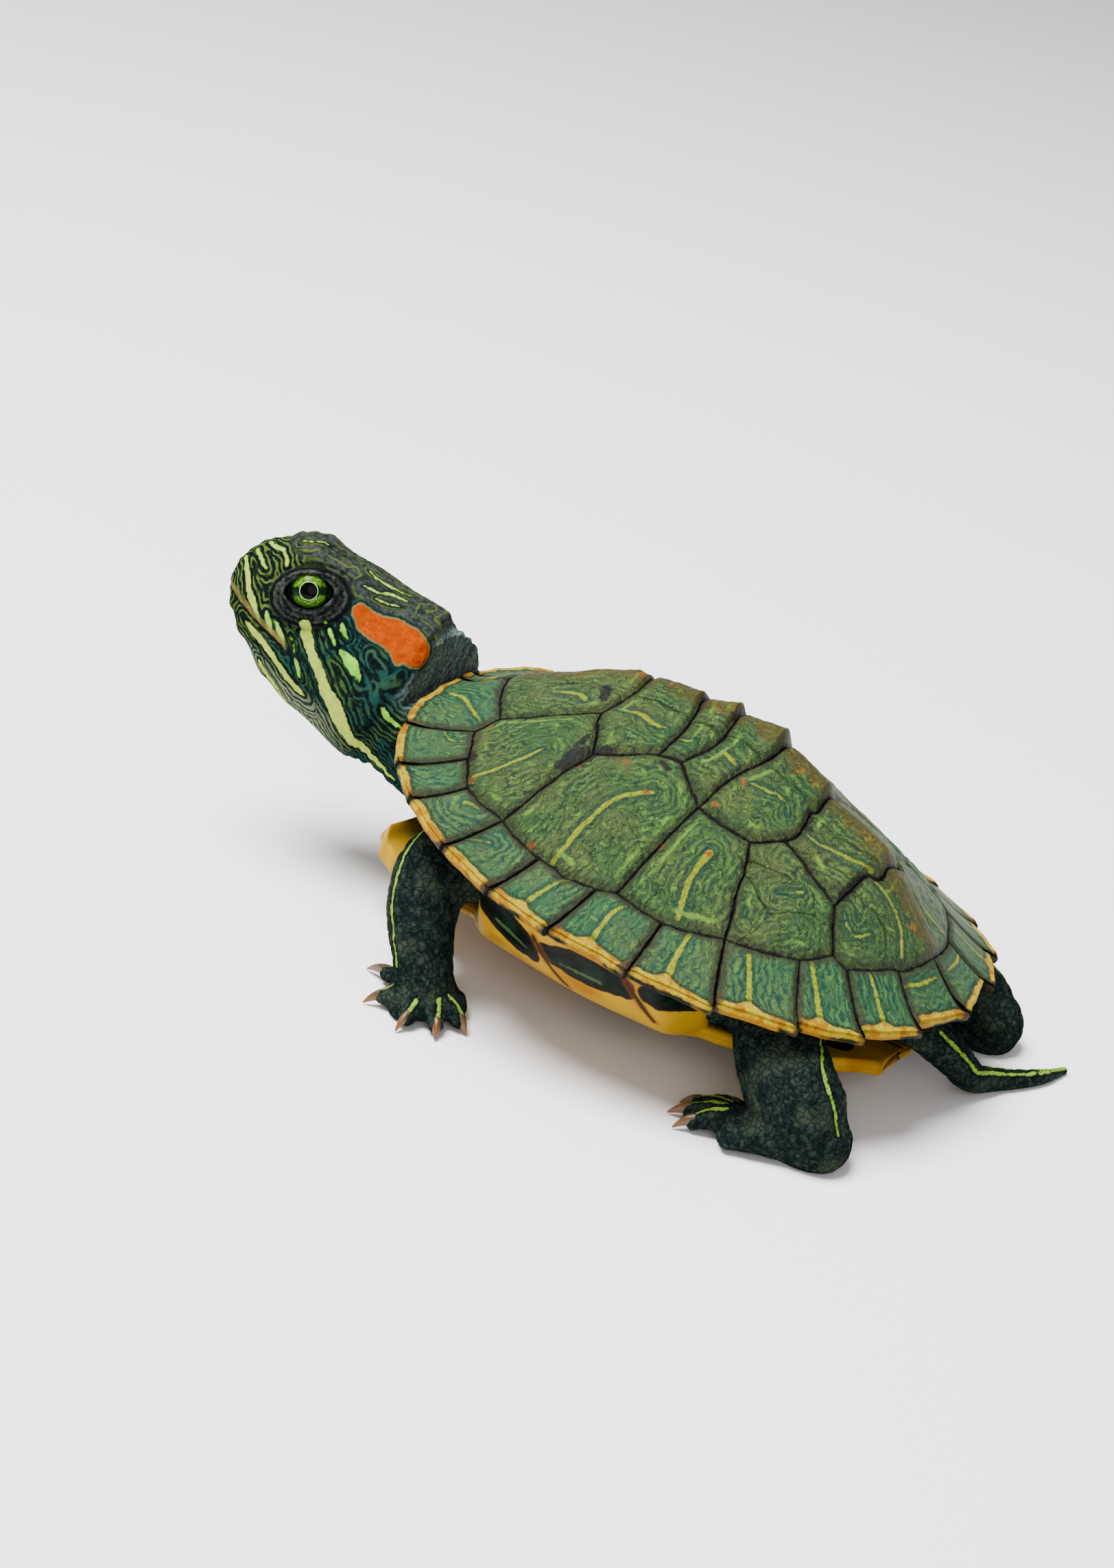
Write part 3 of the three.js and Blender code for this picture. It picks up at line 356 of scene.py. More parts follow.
def plastron_look():
    look = Look("plastron", Specular_IOR_Level=0.03)
    uneven = look.noise(0.8, 3.0)
    colour = look.noise(0.25, 3.0).ease(-0.1, 0.15).pick(BELLY_YELLOW, BELLY_AMBER)
    blotch = look["blotch"] + uneven * 0.6
    inner = look.noise(0.7, 3.0).ease(-0.05, 0.15).pick(seen(10, 18, 14), seen(22, 44, 30))
    colour = colour.paint(NEAR_BLACK, blotch.ease(0.2, 0.05))
    colour = colour.paint(inner, blotch.ease(-0.25, -0.5))
    mark = look["mark"] + look.noise(2.0, 3.0) * 0.4
    colour = colour.paint(seen(104, 132, 84), mark.ease(0.15, -0.05) * 0.8)
    seam = look["edge"] + uneven * 0.3
    colour = colour.paint(seen(150, 92, 44), seam.ease(0.6, 0.2) * 0.5)
    colour = colour.paint(seen(78, 54, 34), seam.ease(0.22, 0.1))
    return look.finish(colour, 0.32, seam.ease(0.05, 0.3) * 0.8 + look.noise(1.5, 3.0) * 0.3, 0.08)


def head_colour(look, grain, mottle, flow, lines):
    """The head and neck: dark, with green lines that run around the stripes."""
    green = look.noise(0.35).ease(-0.1, 0.12).pick(seen(44, 96, 88), seen(88, 122, 62))
    green = green.paint(seen(132, 150, 66), look["snout"] * 0.75)
    dark = grain.ease(-0.1, 0.25).pick(seen(17, 28, 28), seen(38, 54, 52))
    head = dark.paint(green, lines.ease(0.45, 0.85) * look.noise(1.0).ease(-0.2, -0.02))
    # the top of the head: grey and mottled with thin lines, its own tone, painted lighter there as a sheen
    # from the light above
    crown = mottle.ease(-0.2, 0.25).pick(seen(44, 52, 50), seen(96, 106, 98))
    thin_lines = flow.wave(0.7).ease(0.75, 0.95) * look.noise(0.6).ease(-0.15, 0.1)
    crown = crown.paint(seen(128, 142, 66), thin_lines * 0.75)
    # the nape, which lies in shade, painted light grey-blue: painted light
    nape = (grain + lines * 0.2).ease(-0.1, 0.35).pick(seen(100, 114, 118), seen(168, 180, 176))
    throat = lines.ease(0.2, 0.6).pick(seen(62, 72, 66), seen(168, 176, 150))
    head = head.paint(crown, look["crown"]).paint(nape, look["nape"]).paint(throat, look["throat"] * 0.8)
    # the lids: mottled, with light and dark rings along their wrinkles as painted highlight and shade, and a
    # dark line along the groove round them as painted shade
    lid = (mottle + look["lid_ring"].wave(0.36) * 0.2).ease(-0.05, 0.4)
    lid = lid.pick(seen(26, 31, 31), seen(100, 104, 96))
    groove = abs(look["lid_ring"] - 2.12).ease(0.22, 0.05)
    return head.paint(lid.paint(seen(14, 20, 20), groove * 0.8), look["lid"])


def skin_look():
    look = Look("skin", Specular_IOR_Level=0.0)
    grain, uneven = look.noise(4.0, 4.0, 0.6), look.noise(1.6, 3.0)
    mottle = uneven + grain
    flow = look["flow"] + look.noise(0.8) * 0.9
    lines = flow.wave(0.42)
    scale_edge = look.cells(1.9, "DISTANCE_TO_EDGE")
    # legs and tail: near black scales with paler middles
    leg = mottle.ease(-0.15, 0.3).pick(seen(26, 40, 39), seen(74, 88, 78))
    leg = leg.paint(seen(98, 112, 90), look.noise(0.35).ease(0.0, 0.15) * 0.4)
    leg = leg.paint(seen(14, 22, 22), scale_edge.ease(0.1, 0.0) * 0.6)
    colour = leg.paint(head_colour(look, grain, mottle, flow, lines), look["head"])
    # the stripes, in a dark border
    ragged = look["stripe"] + look.noise(2.6, 3.0) * 0.3 + look.noise(0.9) * 0.25
    colour = colour.paint(seen(14, 26, 26), ragged.ease(0.3, 0.1) * 0.7)
    cream = uneven.ease(-0.2, 0.2).pick(CREAM, DULL_CREAM)
    green = uneven.ease(-0.2, 0.2).pick(STRIPE_GREEN, STRIPE_LIME)
    colour = colour.paint(look["tone"].pick(cream, green), ragged.ease(0.06, -0.04) * look["strength"])
    # the ear patch with its pale fringe
    patch = look["patch"] + look.noise(3.0, 3.0) * 0.22
    colour = colour.paint(seen(22, 52, 52), patch.ease(0.45, 0.2)).paint(EAR_FRINGE, patch.ease(0.2, 0.08))
    colour = colour.paint(mottle.ease(-0.15, 0.3).pick(EAR_ORANGE, EAR_LIGHT), patch.ease(0.06, -0.06))
    # a darker line across the patch where it folds: painted shade of the fold
    colour = colour.paint(seen(96, 44, 16), look["crease"].ease(0.1, 0.03) * 0.6)
    # the horny beak, and near black along the gape and in the nostrils: painted shade
    beak = uneven.ease(-0.1, 0.15).pick(seen(136, 134, 86), seen(170, 160, 104))
    colour = colour.paint(beak, look["beak"] * 0.85).paint(seen(30, 30, 24), look["mouth"])
    relief = lines * 0.35 + (grain * 0.9 + look.cells(2.2, "F1") * 0.35)
    relief = relief + scale_edge.ease(0.0, 0.16) * (1.0 - look["head"])
    relief = relief + look["lid_ring"].wave(0.42) * look["lid"] * 0.8
    return look.finish(colour, grain * 0.3 + 0.5, relief, 0.07)


def eye_look():
    look = Look("eye", Coat_Weight=0.12, Coat_Roughness=0.02, Specular_IOR_Level=0.01)
    radius, level, upright = look["iris"], look["level"], look["upright"]
    fibres = look.noise(3.0, 4.0, place=look.vector(level * 2.0, upright * 2.0, radius * 3.0))
    iris = fibres.ease(-0.15, 0.2).pick(seen(72, 112, 36), seen(150, 190, 84))
    iris = iris.paint(seen(16, 34, 20), radius.ease(0.72, 1.0))
    # darker toward the top of the iris: painted shadow of the upper lid
    iris = iris.paint(seen(14, 24, 16), upright.ease(0.5, 1.0) * 0.7)
    # the dark bar, the pale ring round the pupil, and the pupil
    iris = iris.paint(seen(10, 20, 16), (abs(upright) + fibres * 0.12).ease(0.3, 0.16) * 0.95)
    iris = iris.paint(seen(200, 222, 176), abs(radius - PUPIL).ease(0.024, 0.008))
    iris = iris.paint(seen(4, 5, 5), radius.ease(PUPIL, PUPIL - 0.03))
    white = fibres.ease(-0.1, 0.2).pick(seen(18, 28, 20), seen(52, 72, 42))
    return look.finish(iris.paint(white, radius.ease(1.0, 1.08)), 0.2)


def claw_look():
    look = Look("claw", Specular_IOR_Level=0.5)
    along_claw = look["tip"] + look.noise(2.0, 3.0) * 0.5
    colour = along_claw.ease(0.1, 0.75).pick(seen(84, 72, 38), seen(150, 104, 52))
    return look.finish(colour, 0.35, look.noise(3.0, 3.0), 0.03)


LOOKS = {"carapace": carapace_look(), "rim": rim_look(), "plastron": plastron_look(), "skin": skin_look(),
         "eye": eye_look(), "claw": claw_look()}


# ---------------------------------------------------------------- making objects
def make(name, points, faces, slot, nodes=(), values=None):
    """A smooth mesh object from points in shell axes, riding on the body and standing for `nodes`."""
    mesh = bpy.data.meshes.new(name)
    mesh.from_pydata(to_row(points).tolist(), [], faces if isinstance(faces, list) else faces.tolist())
    mesh.polygons.foreach_set("use_smooth", np.ones(len(mesh.polygons), bool))
    for key, value in (values or {}).items():
        layer = mesh.attributes.new(key, "FLOAT", "POINT")
        layer.data.foreach_set("value", np.ascontiguousarray(value, np.float32))
    mesh.update()
    piece = bpy.data.objects.new(name, mesh)
    bpy.context.scene.collection.objects.link(piece)
    mesh.materials.append(LOOKS[slot])
    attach(piece, "root")
    if nodes:
        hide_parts(*nodes)
    return piece


def loft_faces(rings, count):
    """Quads between closed rings of `count` points, and a fan to a last point before and after them."""
    i = np.arange(count)
    j = (i + 1) % count
    strip = np.stack([i, j, count + j, count + i], 1)
    first, last = rings * count, rings * count + 1
    end = (rings - 1) * count
    faces = np.concatenate([strip + r * count for r in range(rings - 1)]).tolist()
    faces += [[first, b, a] for a, b in zip(i.tolist(), j.tolist())]
    faces += [[last, end + a, end + b] for a, b in zip(i.tolist(), j.tolist())]
    return faces


def outward(points, faces):
    """The faces, turned if they enclose a negative volume."""
    tri = np.array([f[:3] for f in faces])
    a, b, c = points[tri[:, 0]], points[tri[:, 1]], points[tri[:, 2]]
    quads = [f for f in faces if len(f) == 4]
    volume = np.einsum("ij,ij->i", a, np.cross(b, c)).sum()
    if quads:
        q = np.array(quads)
        a, b, c = points[q[:, 0]], points[q[:, 2]], points[q[:, 3]]
        volume += np.einsum("ij,ij->i", a, np.cross(b, c)).sum()
    return faces if volume > 0 else [f[::-1] for f in faces]


def closed(sections):
    """Points and faces of a solid through closed sections, with a point in the middle of each end."""
    middle = sections.mean(1)
    points = np.vstack([sections.reshape(-1, 3), middle[:1], middle[-1:]])
    return points, outward(points, loft_faces(*sections.shape[:2]))


# ---------------------------------------------------------------- the carapace surface
HALF = SHELL_LENGTH / 2
AHEAD, BEHIND = HALF + SHELL_CENTRE, HALF - SHELL_CENTRE


def rim_radius(theta):
    """From the shell's centre to the rim, in plan."""
    cos, sin = np.cos(theta), np.sin(theta)
    c = np.abs(cos) / np.where(cos > 0, BEHIND, AHEAD)
    s = np.abs(sin) / (SHELL_WIDTH / 2 * (1 - REAR_TAPER * cos))
    return (c ** OUTLINE_POWER + s ** OUTLINE_POWER) ** (-1 / OUTLINE_POWER)


def dome_height(theta, rho):
    c = np.cos(theta)
    rise = np.where(c < 0, FRONT_RISE, REAR_RISE) * c * c
    y = rho * rim_radius(theta) * np.sin(theta)
    roof = ROOF_HEIGHT * np.maximum(0, 1 - rho * rho) * np.exp(-np.sqrt(y * y + RIDGE_ROUNDING) / ROOF_WIDTH)
    dome = DOME_HEIGHT * np.maximum(0, 1 - rho ** DOME_POWER) ** (DOME_SHOULDER * (1 + DOME_SKEW * c))
    return dome + rise * rho * rho + roof


# Along the keel: its height as (x, height), the seams between the vertebral plates, and the knob of each
# plate as a share of KEEL_KNOB.
KEEL_LINE = [(-22, 0), (-18, 0.6), (-8.5, 0.5), (-4, -0.1), (3, 0), (7.5, -0.35), (13.6, 0.8), (22, 0)]
KEEL_SEAMS = [-18.7, -8.45, -3.95, -1.1, 3.0, 7.5, 13.6, 19.3]
KNOBS = [0.9, 0.75, 1.2, 1.8, 1.1, 0.7, 0.3]


def keel(x, y):
    """The ridge down the middle, with a knob toward the rear of each vertebral plate."""
    height = along(KEEL_LINE, x) * bump(y, KEEL_SPREAD)
    for i, knob in enumerate(KNOBS):
        f = (x - KEEL_SEAMS[i]) / (KEEL_SEAMS[i + 1] - KEEL_SEAMS[i])
        inside = (f > 0) & (f < 1)
        rise = np.minimum(np.minimum(f * f * 1.25, (1 - f) * 8), 1)
        height = height + np.where(inside, KEEL_KNOB * knob * rise * bump(y, KEEL_WIDTH), 0)
    return height


def plan_of(x, y):
    """The angle round the shell's centre, and the share of the way out to the rim."""
    theta = np.arctan2(y, x - SHELL_CENTRE)
    return theta, np.minimum(1, np.hypot(x - SHELL_CENTRE, y) / rim_radius(theta))


def plan(theta, rho):
    r = rho * rim_radius(theta)
    return np.stack([SHELL_CENTRE + np.cos(theta) * r, np.sin(theta) * r], -1)


def shell_height(x, y):
    theta, rho = plan_of(x, y)
    return dome_height(theta, rho) + keel(x, y)


# ---------------------------------------------------------------- the plates' seams, left side
# Round the shell's centre, in degrees from the tail: the seams at the rim, and their inner ends as (degrees,
# share of the rim's radius).
RIM_SEAMS = [182.8, 207.3, 221.1, 231.1, 243.7, 256.9, 270.9, 288.1, 305.3, 319.7, 331.7, 344.9, 360]
INNER_SEAMS = [(182.4, 0.836), (210.5, 0.773), (221.3, 0.798), (230.9, 0.822), (243.5, 0.802), (256.6, 0.82),
               (272.8, 0.802), (290.5, 0.802), (305.9, 0.768), (323.0, 0.785), (334.2, 0.808), (347.5, 0.833),
               (360, 0.859)]
CORNERS = {  # shares of the shell's length
    "m1": (-0.338, -0.154), "a": (-0.205, -0.097), "b": (-0.159, -0.183), "c": (-0.070, -0.133),
    "d": (-0.036, -0.127), "e": (0.034, -0.172), "f": (0.081, -0.174), "g": (0.135, -0.163),
    "h": (0.170, -0.118), "i": (0.287, -0.134), "m7": (0.035, -0.347), "m10": (0.333, -0.189),
    # bends of a seam between two corners
    "ab": (-0.169, -0.240), "eb": (0.032, -0.264), "e_in": (0.048, -0.091), "d_in": (-0.016, -0.071),
    "c_in": (-0.072, -0.077), "h_out": (0.173, -0.091), "h_in": (0.162, -0.044), "i_in": (0.288, -0.048),
}
STEP = 0.14                       # spacing of the points along a seam


def curve_through(points, count=None):
    """Points along a smooth line through `points` (centripetal Catmull-Rom)."""
    p = np.array(points, float)
    if len(p) == 2:
        n = count or max(2, int(np.linalg.norm(p[1] - p[0]) / STEP))
        return p[0] + (p[1] - p[0]) * np.linspace(0, 1, n)[:, None]
    q = np.concatenate([[2 * p[0] - p[1]], p, [2 * p[-1] - p[-2]]])
    out = []
    for i in range(1, len(q) - 2):
        x0, x1, x2, x3 = q[i - 1:i + 3]
        d0, d1, d2 = (max(np.linalg.norm(b - a) ** 0.5, 1e-4) for a, b in ((x0, x1), (x1, x2), (x2, x3)))
        m1 = ((x1 - x0) / d0 - (x2 - x0) / (d0 + d1) + (x2 - x1) / d1) * d1
        m2 = ((x2 - x1) / d1 - (x3 - x1) / (d1 + d2) + (x3 - x2) / d2) * d1
        n = max(2, int(np.linalg.norm(x2 - x1) / STEP)) if count is None else count
        s = np.linspace(0, 1, n, endpoint=False)[:, None]
        squared, cubed = -3 * x1 + 3 * x2 - 2 * m1 - m2, 2 * x1 - 2 * x2 + m1 + m2
        out.append(x1 + m1 * s + squared * s ** 2 + cubed * s ** 3)
    return np.concatenate(out + [p[-1:]])


def rim_side(*nodes):
    """Along the marginal plates' inner seam, following the shell's curve."""
    out = []
    for p, q in zip(nodes, nodes[1:]):
        (t0, r0), (t1, r1) = plan_of(*p), plan_of(*q)
        turn = (t1 - t0 + math.pi) % (2 * math.pi) - math.pi
        f = np.linspace(0, 1, max(2, int(np.linalg.norm(q - p) / STEP)), endpoint=False)
        out.append(plan(t0 + turn * f, r0 + (r1 - r0) * f))
    return np.concatenate(out + [np.array([nodes[-1]])])


def keel_at(n, y=0.0, dx=0.0):
    return np.array([KEEL_SEAMS[n] + dx, y])


def corner(key):
    """A corner of the plates by its name, or by its number on the rim's inner seam."""
    if key.isdigit():
        degrees, rho = INNER_SEAMS[int(key)]
        return plan(math.radians(degrees), rho)
    return np.array(CORNERS[key]) * SHELL_LENGTH


def seam(path):
    """The seam through the corners named in `path`, backward after a minus sign. It follows the rim between
    corners of the rim, which have a number or a name in m, and is a smooth line otherwise."""
    keys = path.strip("-").split()
    on_rim = all(key.isdigit() or key.startswith("m") for key in keys)
    points = [corner(key) for key in keys]
    line = rim_side(*points) if on_rim else curve_through(points)
    return line[::-1] if path.startswith("-") else line


# The seam in front of each vertebral plate, from beside the keel to its corner on the left, and how far
# back it lies beside the keel.
CROSS = [("0", 0), ("a", 0), ("c_in c", 0.25), ("d_in d", 0.2), ("e_in e", 0), ("h_in h_out h", 0),
         ("i_in i", 0)]
CROSS_BEND = -1.7                 # where a cross seam turns back, beside the keel
# The seams down the left of each vertebral plate, and round each costal plate.
FLANKS = [["0 m1", "m1 a"], ["a b", "b c"], ["c d"], ["d e"], ["e f g", "g h"], ["h i"],
          ["i m10", "m10 10 11 12"]]
COSTALS = [["m1 a", "a b", "b ab 4", "4 3 2 1 m1"],
           ["b c", "c d", "d e", "e eb m7", "m7 6 5 4", "-b ab 4"],
           ["e f g", "g 8", "8 7 m7", "-e eb m7"],
           ["g h", "h i", "i m10", "m10 9 8", "-g 8"]]


def cross(n):
    """The whole seam in front of vertebral plate n, from the right corner to the left one."""
    path, lag = CROSS[n]
    beside_keel = [keel_at(n, CROSS_BEND, lag)] if n else []
    half = [keel_at(n)] + beside_keel + [corner(key) for key in path.split()]
    return curve_through([p * (1, -1) for p in half[:0:-1]] + half)


def join(sides):
    """One closed outline from sides that meet end to end."""
    return np.concatenate([side[:-1] for side in sides])


def vertebral(n):
    left = [seam(path) for path in FLANKS[n]]
    rear = [cross(n + 1)[::-1]] if n + 1 < len(CROSS) else []
    return join([cross(n)] + left + rear + [side[::-1] * (1, -1) for side in left[::-1]])


def costal(n):
    return join([seam(path) for path in COSTALS[n]])


# ---------------------------------------------------------------- plates
GROOVE_DEPTH, GROOVE_WIDTH, RIM_GROOVE = 0.26, 0.26, 0.208
PLATE_GAP = 0.05                  # from a plate's edge to the seam's middle
SEAM_WAVES = [(0.55, 3, 0.16), (1.7, 5, 0.05)]     # (fineness, seed of the noise, height)
FINE_STEP = 0.05                  # spacing of the points that distances to an edge are taken from
EDGE_STEPS = [0, 0.05, 0.11, 0.18, 0.27, 0.38]     # rings of points near a plate's edge, from the edge in


def wavy(outline):
    """The seams wander a little; the shift depends on the place alone, so neighbours agree."""
    p = np.column_stack([outline, np.zeros(len(outline))])
    shift = 0
    for fineness, seed, height in SEAM_WAVES:
        both_ways = [value_noise(p * fineness, seed), value_noise(p * fineness, seed + 1)]
        shift = shift + np.column_stack(both_ways) * height
    return outline + shift


def ways(line):
    """The length of a chain of points up to each of them."""
    return np.concatenate([[0], np.cumsum(np.linalg.norm(np.diff(line, axis=0), axis=1))])


def points_at(line, s):
    return np.column_stack([np.interp(s, ways(line), line[:, a]) for a in (0, 1)])


def resampled(outline, spacing):
    """A closed outline with its points at even spacing."""
    closed_line = np.vstack([outline, outline[:1]])
    total = ways(closed_line)[-1]
    return points_at(closed_line, np.linspace(0, total, int(total / spacing), endpoint=False))


def inset(outline, distance):
    """A closed outline moved inward."""
    before, after = np.roll(outline, 1, 0), np.roll(outline, -1, 0)
    along_edge = unit(after - before)
    normal = np.column_stack([-along_edge[:, 1], along_edge[:, 0]])
    area = np.cross(outline, after).sum()
    return outline + normal * np.sign(area) * distance


def nearest(points, line, block=20000):
    """Distance from each point to a chain of close points."""
    out = np.empty(len(points))
    for start in range(0, len(points), block):
        part = points[start:start + block]
        out[start:start + block] = np.sqrt(((part[:, None] - line[None]) ** 2).sum(-1).min(1))
    return out


def stroke_fields(p, strokes):
    """For strokes of (place, half width) points: the signed distance to their paint, the plain distance
    to the nearest centre line, the way along that line, and the number of the stroke."""
    paint, line = np.full(len(p), FAR), np.full(len(p), FAR)
    run, which = np.zeros(len(p)), np.zeros(len(p), int)
    for number, stroke in enumerate(strokes):
        stroke = np.array(stroke, float)
        passed = 0.0
        for a, b in zip(stroke[:-1], stroke[1:]):
            span = b[:-1] - a[:-1]
            length = np.linalg.norm(span)
            f = (p - a[:-1]) @ span / length ** 2
            held = np.clip(f, 0, 1)
            d = np.linalg.norm(p - a[:-1] - held[:, None] * span, axis=1)
            width = a[-1] + (b[-1] - a[-1]) * held
            closer = d - width < paint
            paint, line = np.where(closer, d - width, paint), np.where(closer, d, line)
            run = np.where(closer, passed + f * length, run)
            which = np.where(closer, number, which)
            passed += length
    return paint, line, run, which


def plate(node, name, outline, turn):
    """A plate of the dome, with the strokes of `name`; its edge sinks into the seams."""
    edge = inset(resampled(wavy(outline), STEP), PLATE_GAP)
    centre = edge.mean(0)
    radius = np.linalg.norm(edge - centre, axis=1).mean()
    inside = np.linspace(0.5 / radius, 1, max(6, int(radius / STEP)), endpoint=False)
    shares = 1 - np.concatenate([np.array(EDGE_STEPS) / radius, inside])
    ring_points = centre + (edge - centre)[None] * shares[:, None, None]
    flat = np.vstack([ring_points.reshape(-1, 2), centre])
    to_edge = nearest(flat, resampled(edge, FINE_STEP))
    values = pattern(name, flat, turn)
    lowered = GROOVE_DEPTH * bump(to_edge, GROOVE_WIDTH)
    raised = plate_relief(flat, to_edge, values) * smooth(to_edge, 0.05, 0.5)
    top = np.column_stack([flat, shell_height(flat[:, 0], flat[:, 1]) - lowered + raised])
    skirt = np.column_stack([edge, shell_height(edge[:, 0], edge[:, 1]) - PLATE_THICKNESS])
    under = np.append(centre, shell_height(*centre[:, None])[0] - PLATE_THICKNESS)
    count, rings = len(edge), len(shares) + 1
    points = np.vstack([skirt, top[:-1], under[None], top[-1:]])
    values = {key: np.concatenate([value[:count], value[:-1], value[:1], value[-1:]])
              for key, value in {"edge": to_edge, **values}.items()}
    faces = outward(points, loft_faces(rings, count))
    return make(f"scute_{node}", points, faces, "carapace", [node], values)


# The yellow strokes of each plate on the left side, as (x, y, half width).
STROKES = {
    "vertebral_1": [[(-14.0, -3.1, 0.1), (-12.9, -3.1, 0.2), (-11.8, -3.3, 0.22), (-11.1, -3.7, 0.15)]],
    "vertebral_2": [[(-8.8, -4.1, 0.05), (-7.7, -4.0, 0.1), (-6.5, -3.9, 0.2), (-5.5, -4.1, 0.22),
                     (-4.2, -4.0, 0.1)]],
    "vertebral_3": [[(-3.2, -4.3, 0.05), (-2.2, -4.1, 0.15)]],
    "vertebral_4": [[(-0.2, -3.6, 0.05), (0.7, -3.6, 0.2), (1.5, -3.9, 0.15)]],
    "vertebral_5": [[(2.9, -4.4, 0.05), (4.2, -3.9, 0.14), (5.9, -3.4, 0.12), (6.5, -3.9, 0.05)]],
    "vertebral_6": [[(8.1, -3.9, 0.05), (9.6, -3.6, 0.15), (11.5, -2.8, 0.17), (13.1, -1.9, 0.15)]],
    "vertebral_7": [[(13.7, -2.3, 0.1), (14.6, -2.0, 0.14), (15.8, -2.0, 0.15), (16.9, -2.4, 0.17),
                     (18.0, -3.5, 0.15)],
                    [(13.7, -5.9, 0.05), (14.3, -6.3, 0.1), (15.2, -6.2, 0.12), (15.8, -5.0, 0.05)]],
    "costal_1": [[(-12.5, -13.5, 0.2), (-11.9, -12.7, 0.18), (-11.3, -11.7, 0.18), (-10.7, -10.7, 0.18),
                  (-10.2, -9.5, 0.08)]],
    "costal_2": [[(-3.3, -16.3, 0.2), (-3.4, -15.0, 0.22), (-3.5, -13.5, 0.22), (-3.4, -12.1, 0.2),
                  (-3.2, -10.8, 0.2), (-2.6, -9.9, 0.2), (-1.4, -8.9, 0.15)]],
    "costal_3": [[(6.0, -14.6, 0.22), (5.5, -13.7, 0.22), (5.0, -12.8, 0.22), (4.7, -11.7, 0.22),
                  (4.6, -10.6, 0.3), (4.6, -10.1, 0.3)]],
    "costal_4": [[(9.5, -8.9, 0.03), (10.9, -7.4, 0.1)], [(8.8, -11.0, 0.03), (9.4, -12.0, 0.06)]],
    "marginal_1": [[(-20.9, -4.6, 0.25), (-19.8, -5.0, 0.2), (-17.8, -6.8, 0.15), (-16.2, -8.0, 0.1)]],
    "marginal_2": [[(-17.6, -10.2, 0.1), (-16.4, -10.9, 0.1), (-15.6, -10.6, 0.08)]],
    "marginal_3": [[(-16.6, -13.2, 0.1), (-15.0, -12.9, 0.08)]],
    "marginal_4": [[(-11.4, -15.7, 0.15), (-10.9, -15.6, 0.15), (-10.2, -15.7, 0.08)]],
    "marginal_5": [[(-9.2, -18.0, 0.1), (-7.6, -17.4, 0.08)]],
    "marginal_6": [[(-2.6, -19.3, 0.22), (-2.2, -17.6, 0.16), (-1.6, -16.5, 0.1)]],
    "marginal_7": [[(2.7, -19.6, 0.3), (2.4, -17.7, 0.18), (2.4, -16.5, 0.18), (2.8, -16.0, 0.1)]],
    "marginal_8": [[(8.4, -18.6, 0.3), (7.5, -15.9, 0.2), (7.3, -14.7, 0.15)]],
    "marginal_9": [[(14.0, -16.4, 0.3), (12.6, -14.8, 0.2), (11.2, -13.3, 0.18)]],
    "marginal_10": [[(18.2, -13.4, 0.3), (15.9, -11.4, 0.2), (14.4, -10.2, 0.18)]],
    "marginal_11": [[(21.2, -9.2, 0.3), (18.8, -7.6, 0.18), (17.3, -6.8, 0.15)]],
    "marginal_12": [[(19.2, -4.9, 0.12), (19.8, -3.2, 0.15), (20.1, -1.0, 0.1)]],
    "cervical": [[(-20.6, -1.0, 0.5), (-20.4, 0.4, 0.4)]],
}
# Plain lines that the fine pattern also runs along: the keel, and a middle ring in each rear marginal plate.
GUIDES = {f"vertebral_{n + 1}": [[(KEEL_SEAMS[n], -0.8, 0), (KEEL_SEAMS[n + 1], -0.8, 0)]]
          for n in range(len(FLANKS))}
GUIDES["costal_4"] = [[(8.5, -6.4, 0), (12.2, -6.3, 0)], [(12.5, -9.5, 0), (11.0, -12.5, 0)]]
# Slate patches of old skin and orange-brown specks.
DARK_STROKES = [[(-8.2, -10.2, 0.45), (-7.3, -8.7, 0.75), (-6.0, -7.4, 0.2)],
                [(-8.2, -9.0, 0.35), (-8.4, -7.2, 0.1)],
                [(-15.3, -10.9, 0.3), (-13.9, -12.0, 0.35)], [(-10.6, -2.2, 0.4), (-9.9, -3.4, 0.3)],
                [(7.3, -2.2, 0.2), (8.0, -3.3, 0.35)], [(12.9, -3.2, 0.3), (12.9, -5.0, 0.35)],
                [(-2.7, -6.6, 0.05), (-1.9, -6.9, 0.25)]]
SPOTS = [(-4.7, -7.9), (-7.1, -9.7), (-12.4, -13.9), (2.4, -7.1), (-9.1, -0.4), (-3.6, 0), (1.7, -11.5),
         (-5.3, -16.0), (-15.2, -8.4), (4.6, -10.2), (-1.8, -9.2), (2.8, -4.6)]
SPOT_RADIUS = 0.18
STROKE_GAP = 7                    # keeps the fine patterns along two strokes apart
GROWTH_RING, GROWTH_HEIGHT = 0.85, 0.02
GRAIN_HEIGHT, LINE_HEIGHT, STRIPE_HEIGHT = 0.06, 0.045, 0.03


def pattern(name, flat, turn):
    """The painted fields of a plate; turn is -1 on the right side, and 0 where it spans both sides."""
    p = np.column_stack([flat[:, 0], -np.abs(flat[:, 1]) if turn == 0 else flat[:, 1] * turn])
    strokes = [curve_through(stroke, 4) for stroke in STROKES[name]]
    stripe = stroke_fields(p, strokes)[0]
    _, flow, run, which = stroke_fields(p, strokes + GUIDES.get(name, []))
    own = flat if turn == 0 else p
    dark = stroke_fields(own, DARK_STROKES)[0] if turn >= 0 else np.full(len(p), FAR)
    spot = np.linalg.norm(p[:, None] - np.array(SPOTS)[None], axis=2).min(1) - SPOT_RADIUS
    return {"stripe": stripe, "flow": flow, "run": run + STROKE_GAP * which, "dark": dark, "spot": spot,
            "keel": np.abs(flat[:, 1])}


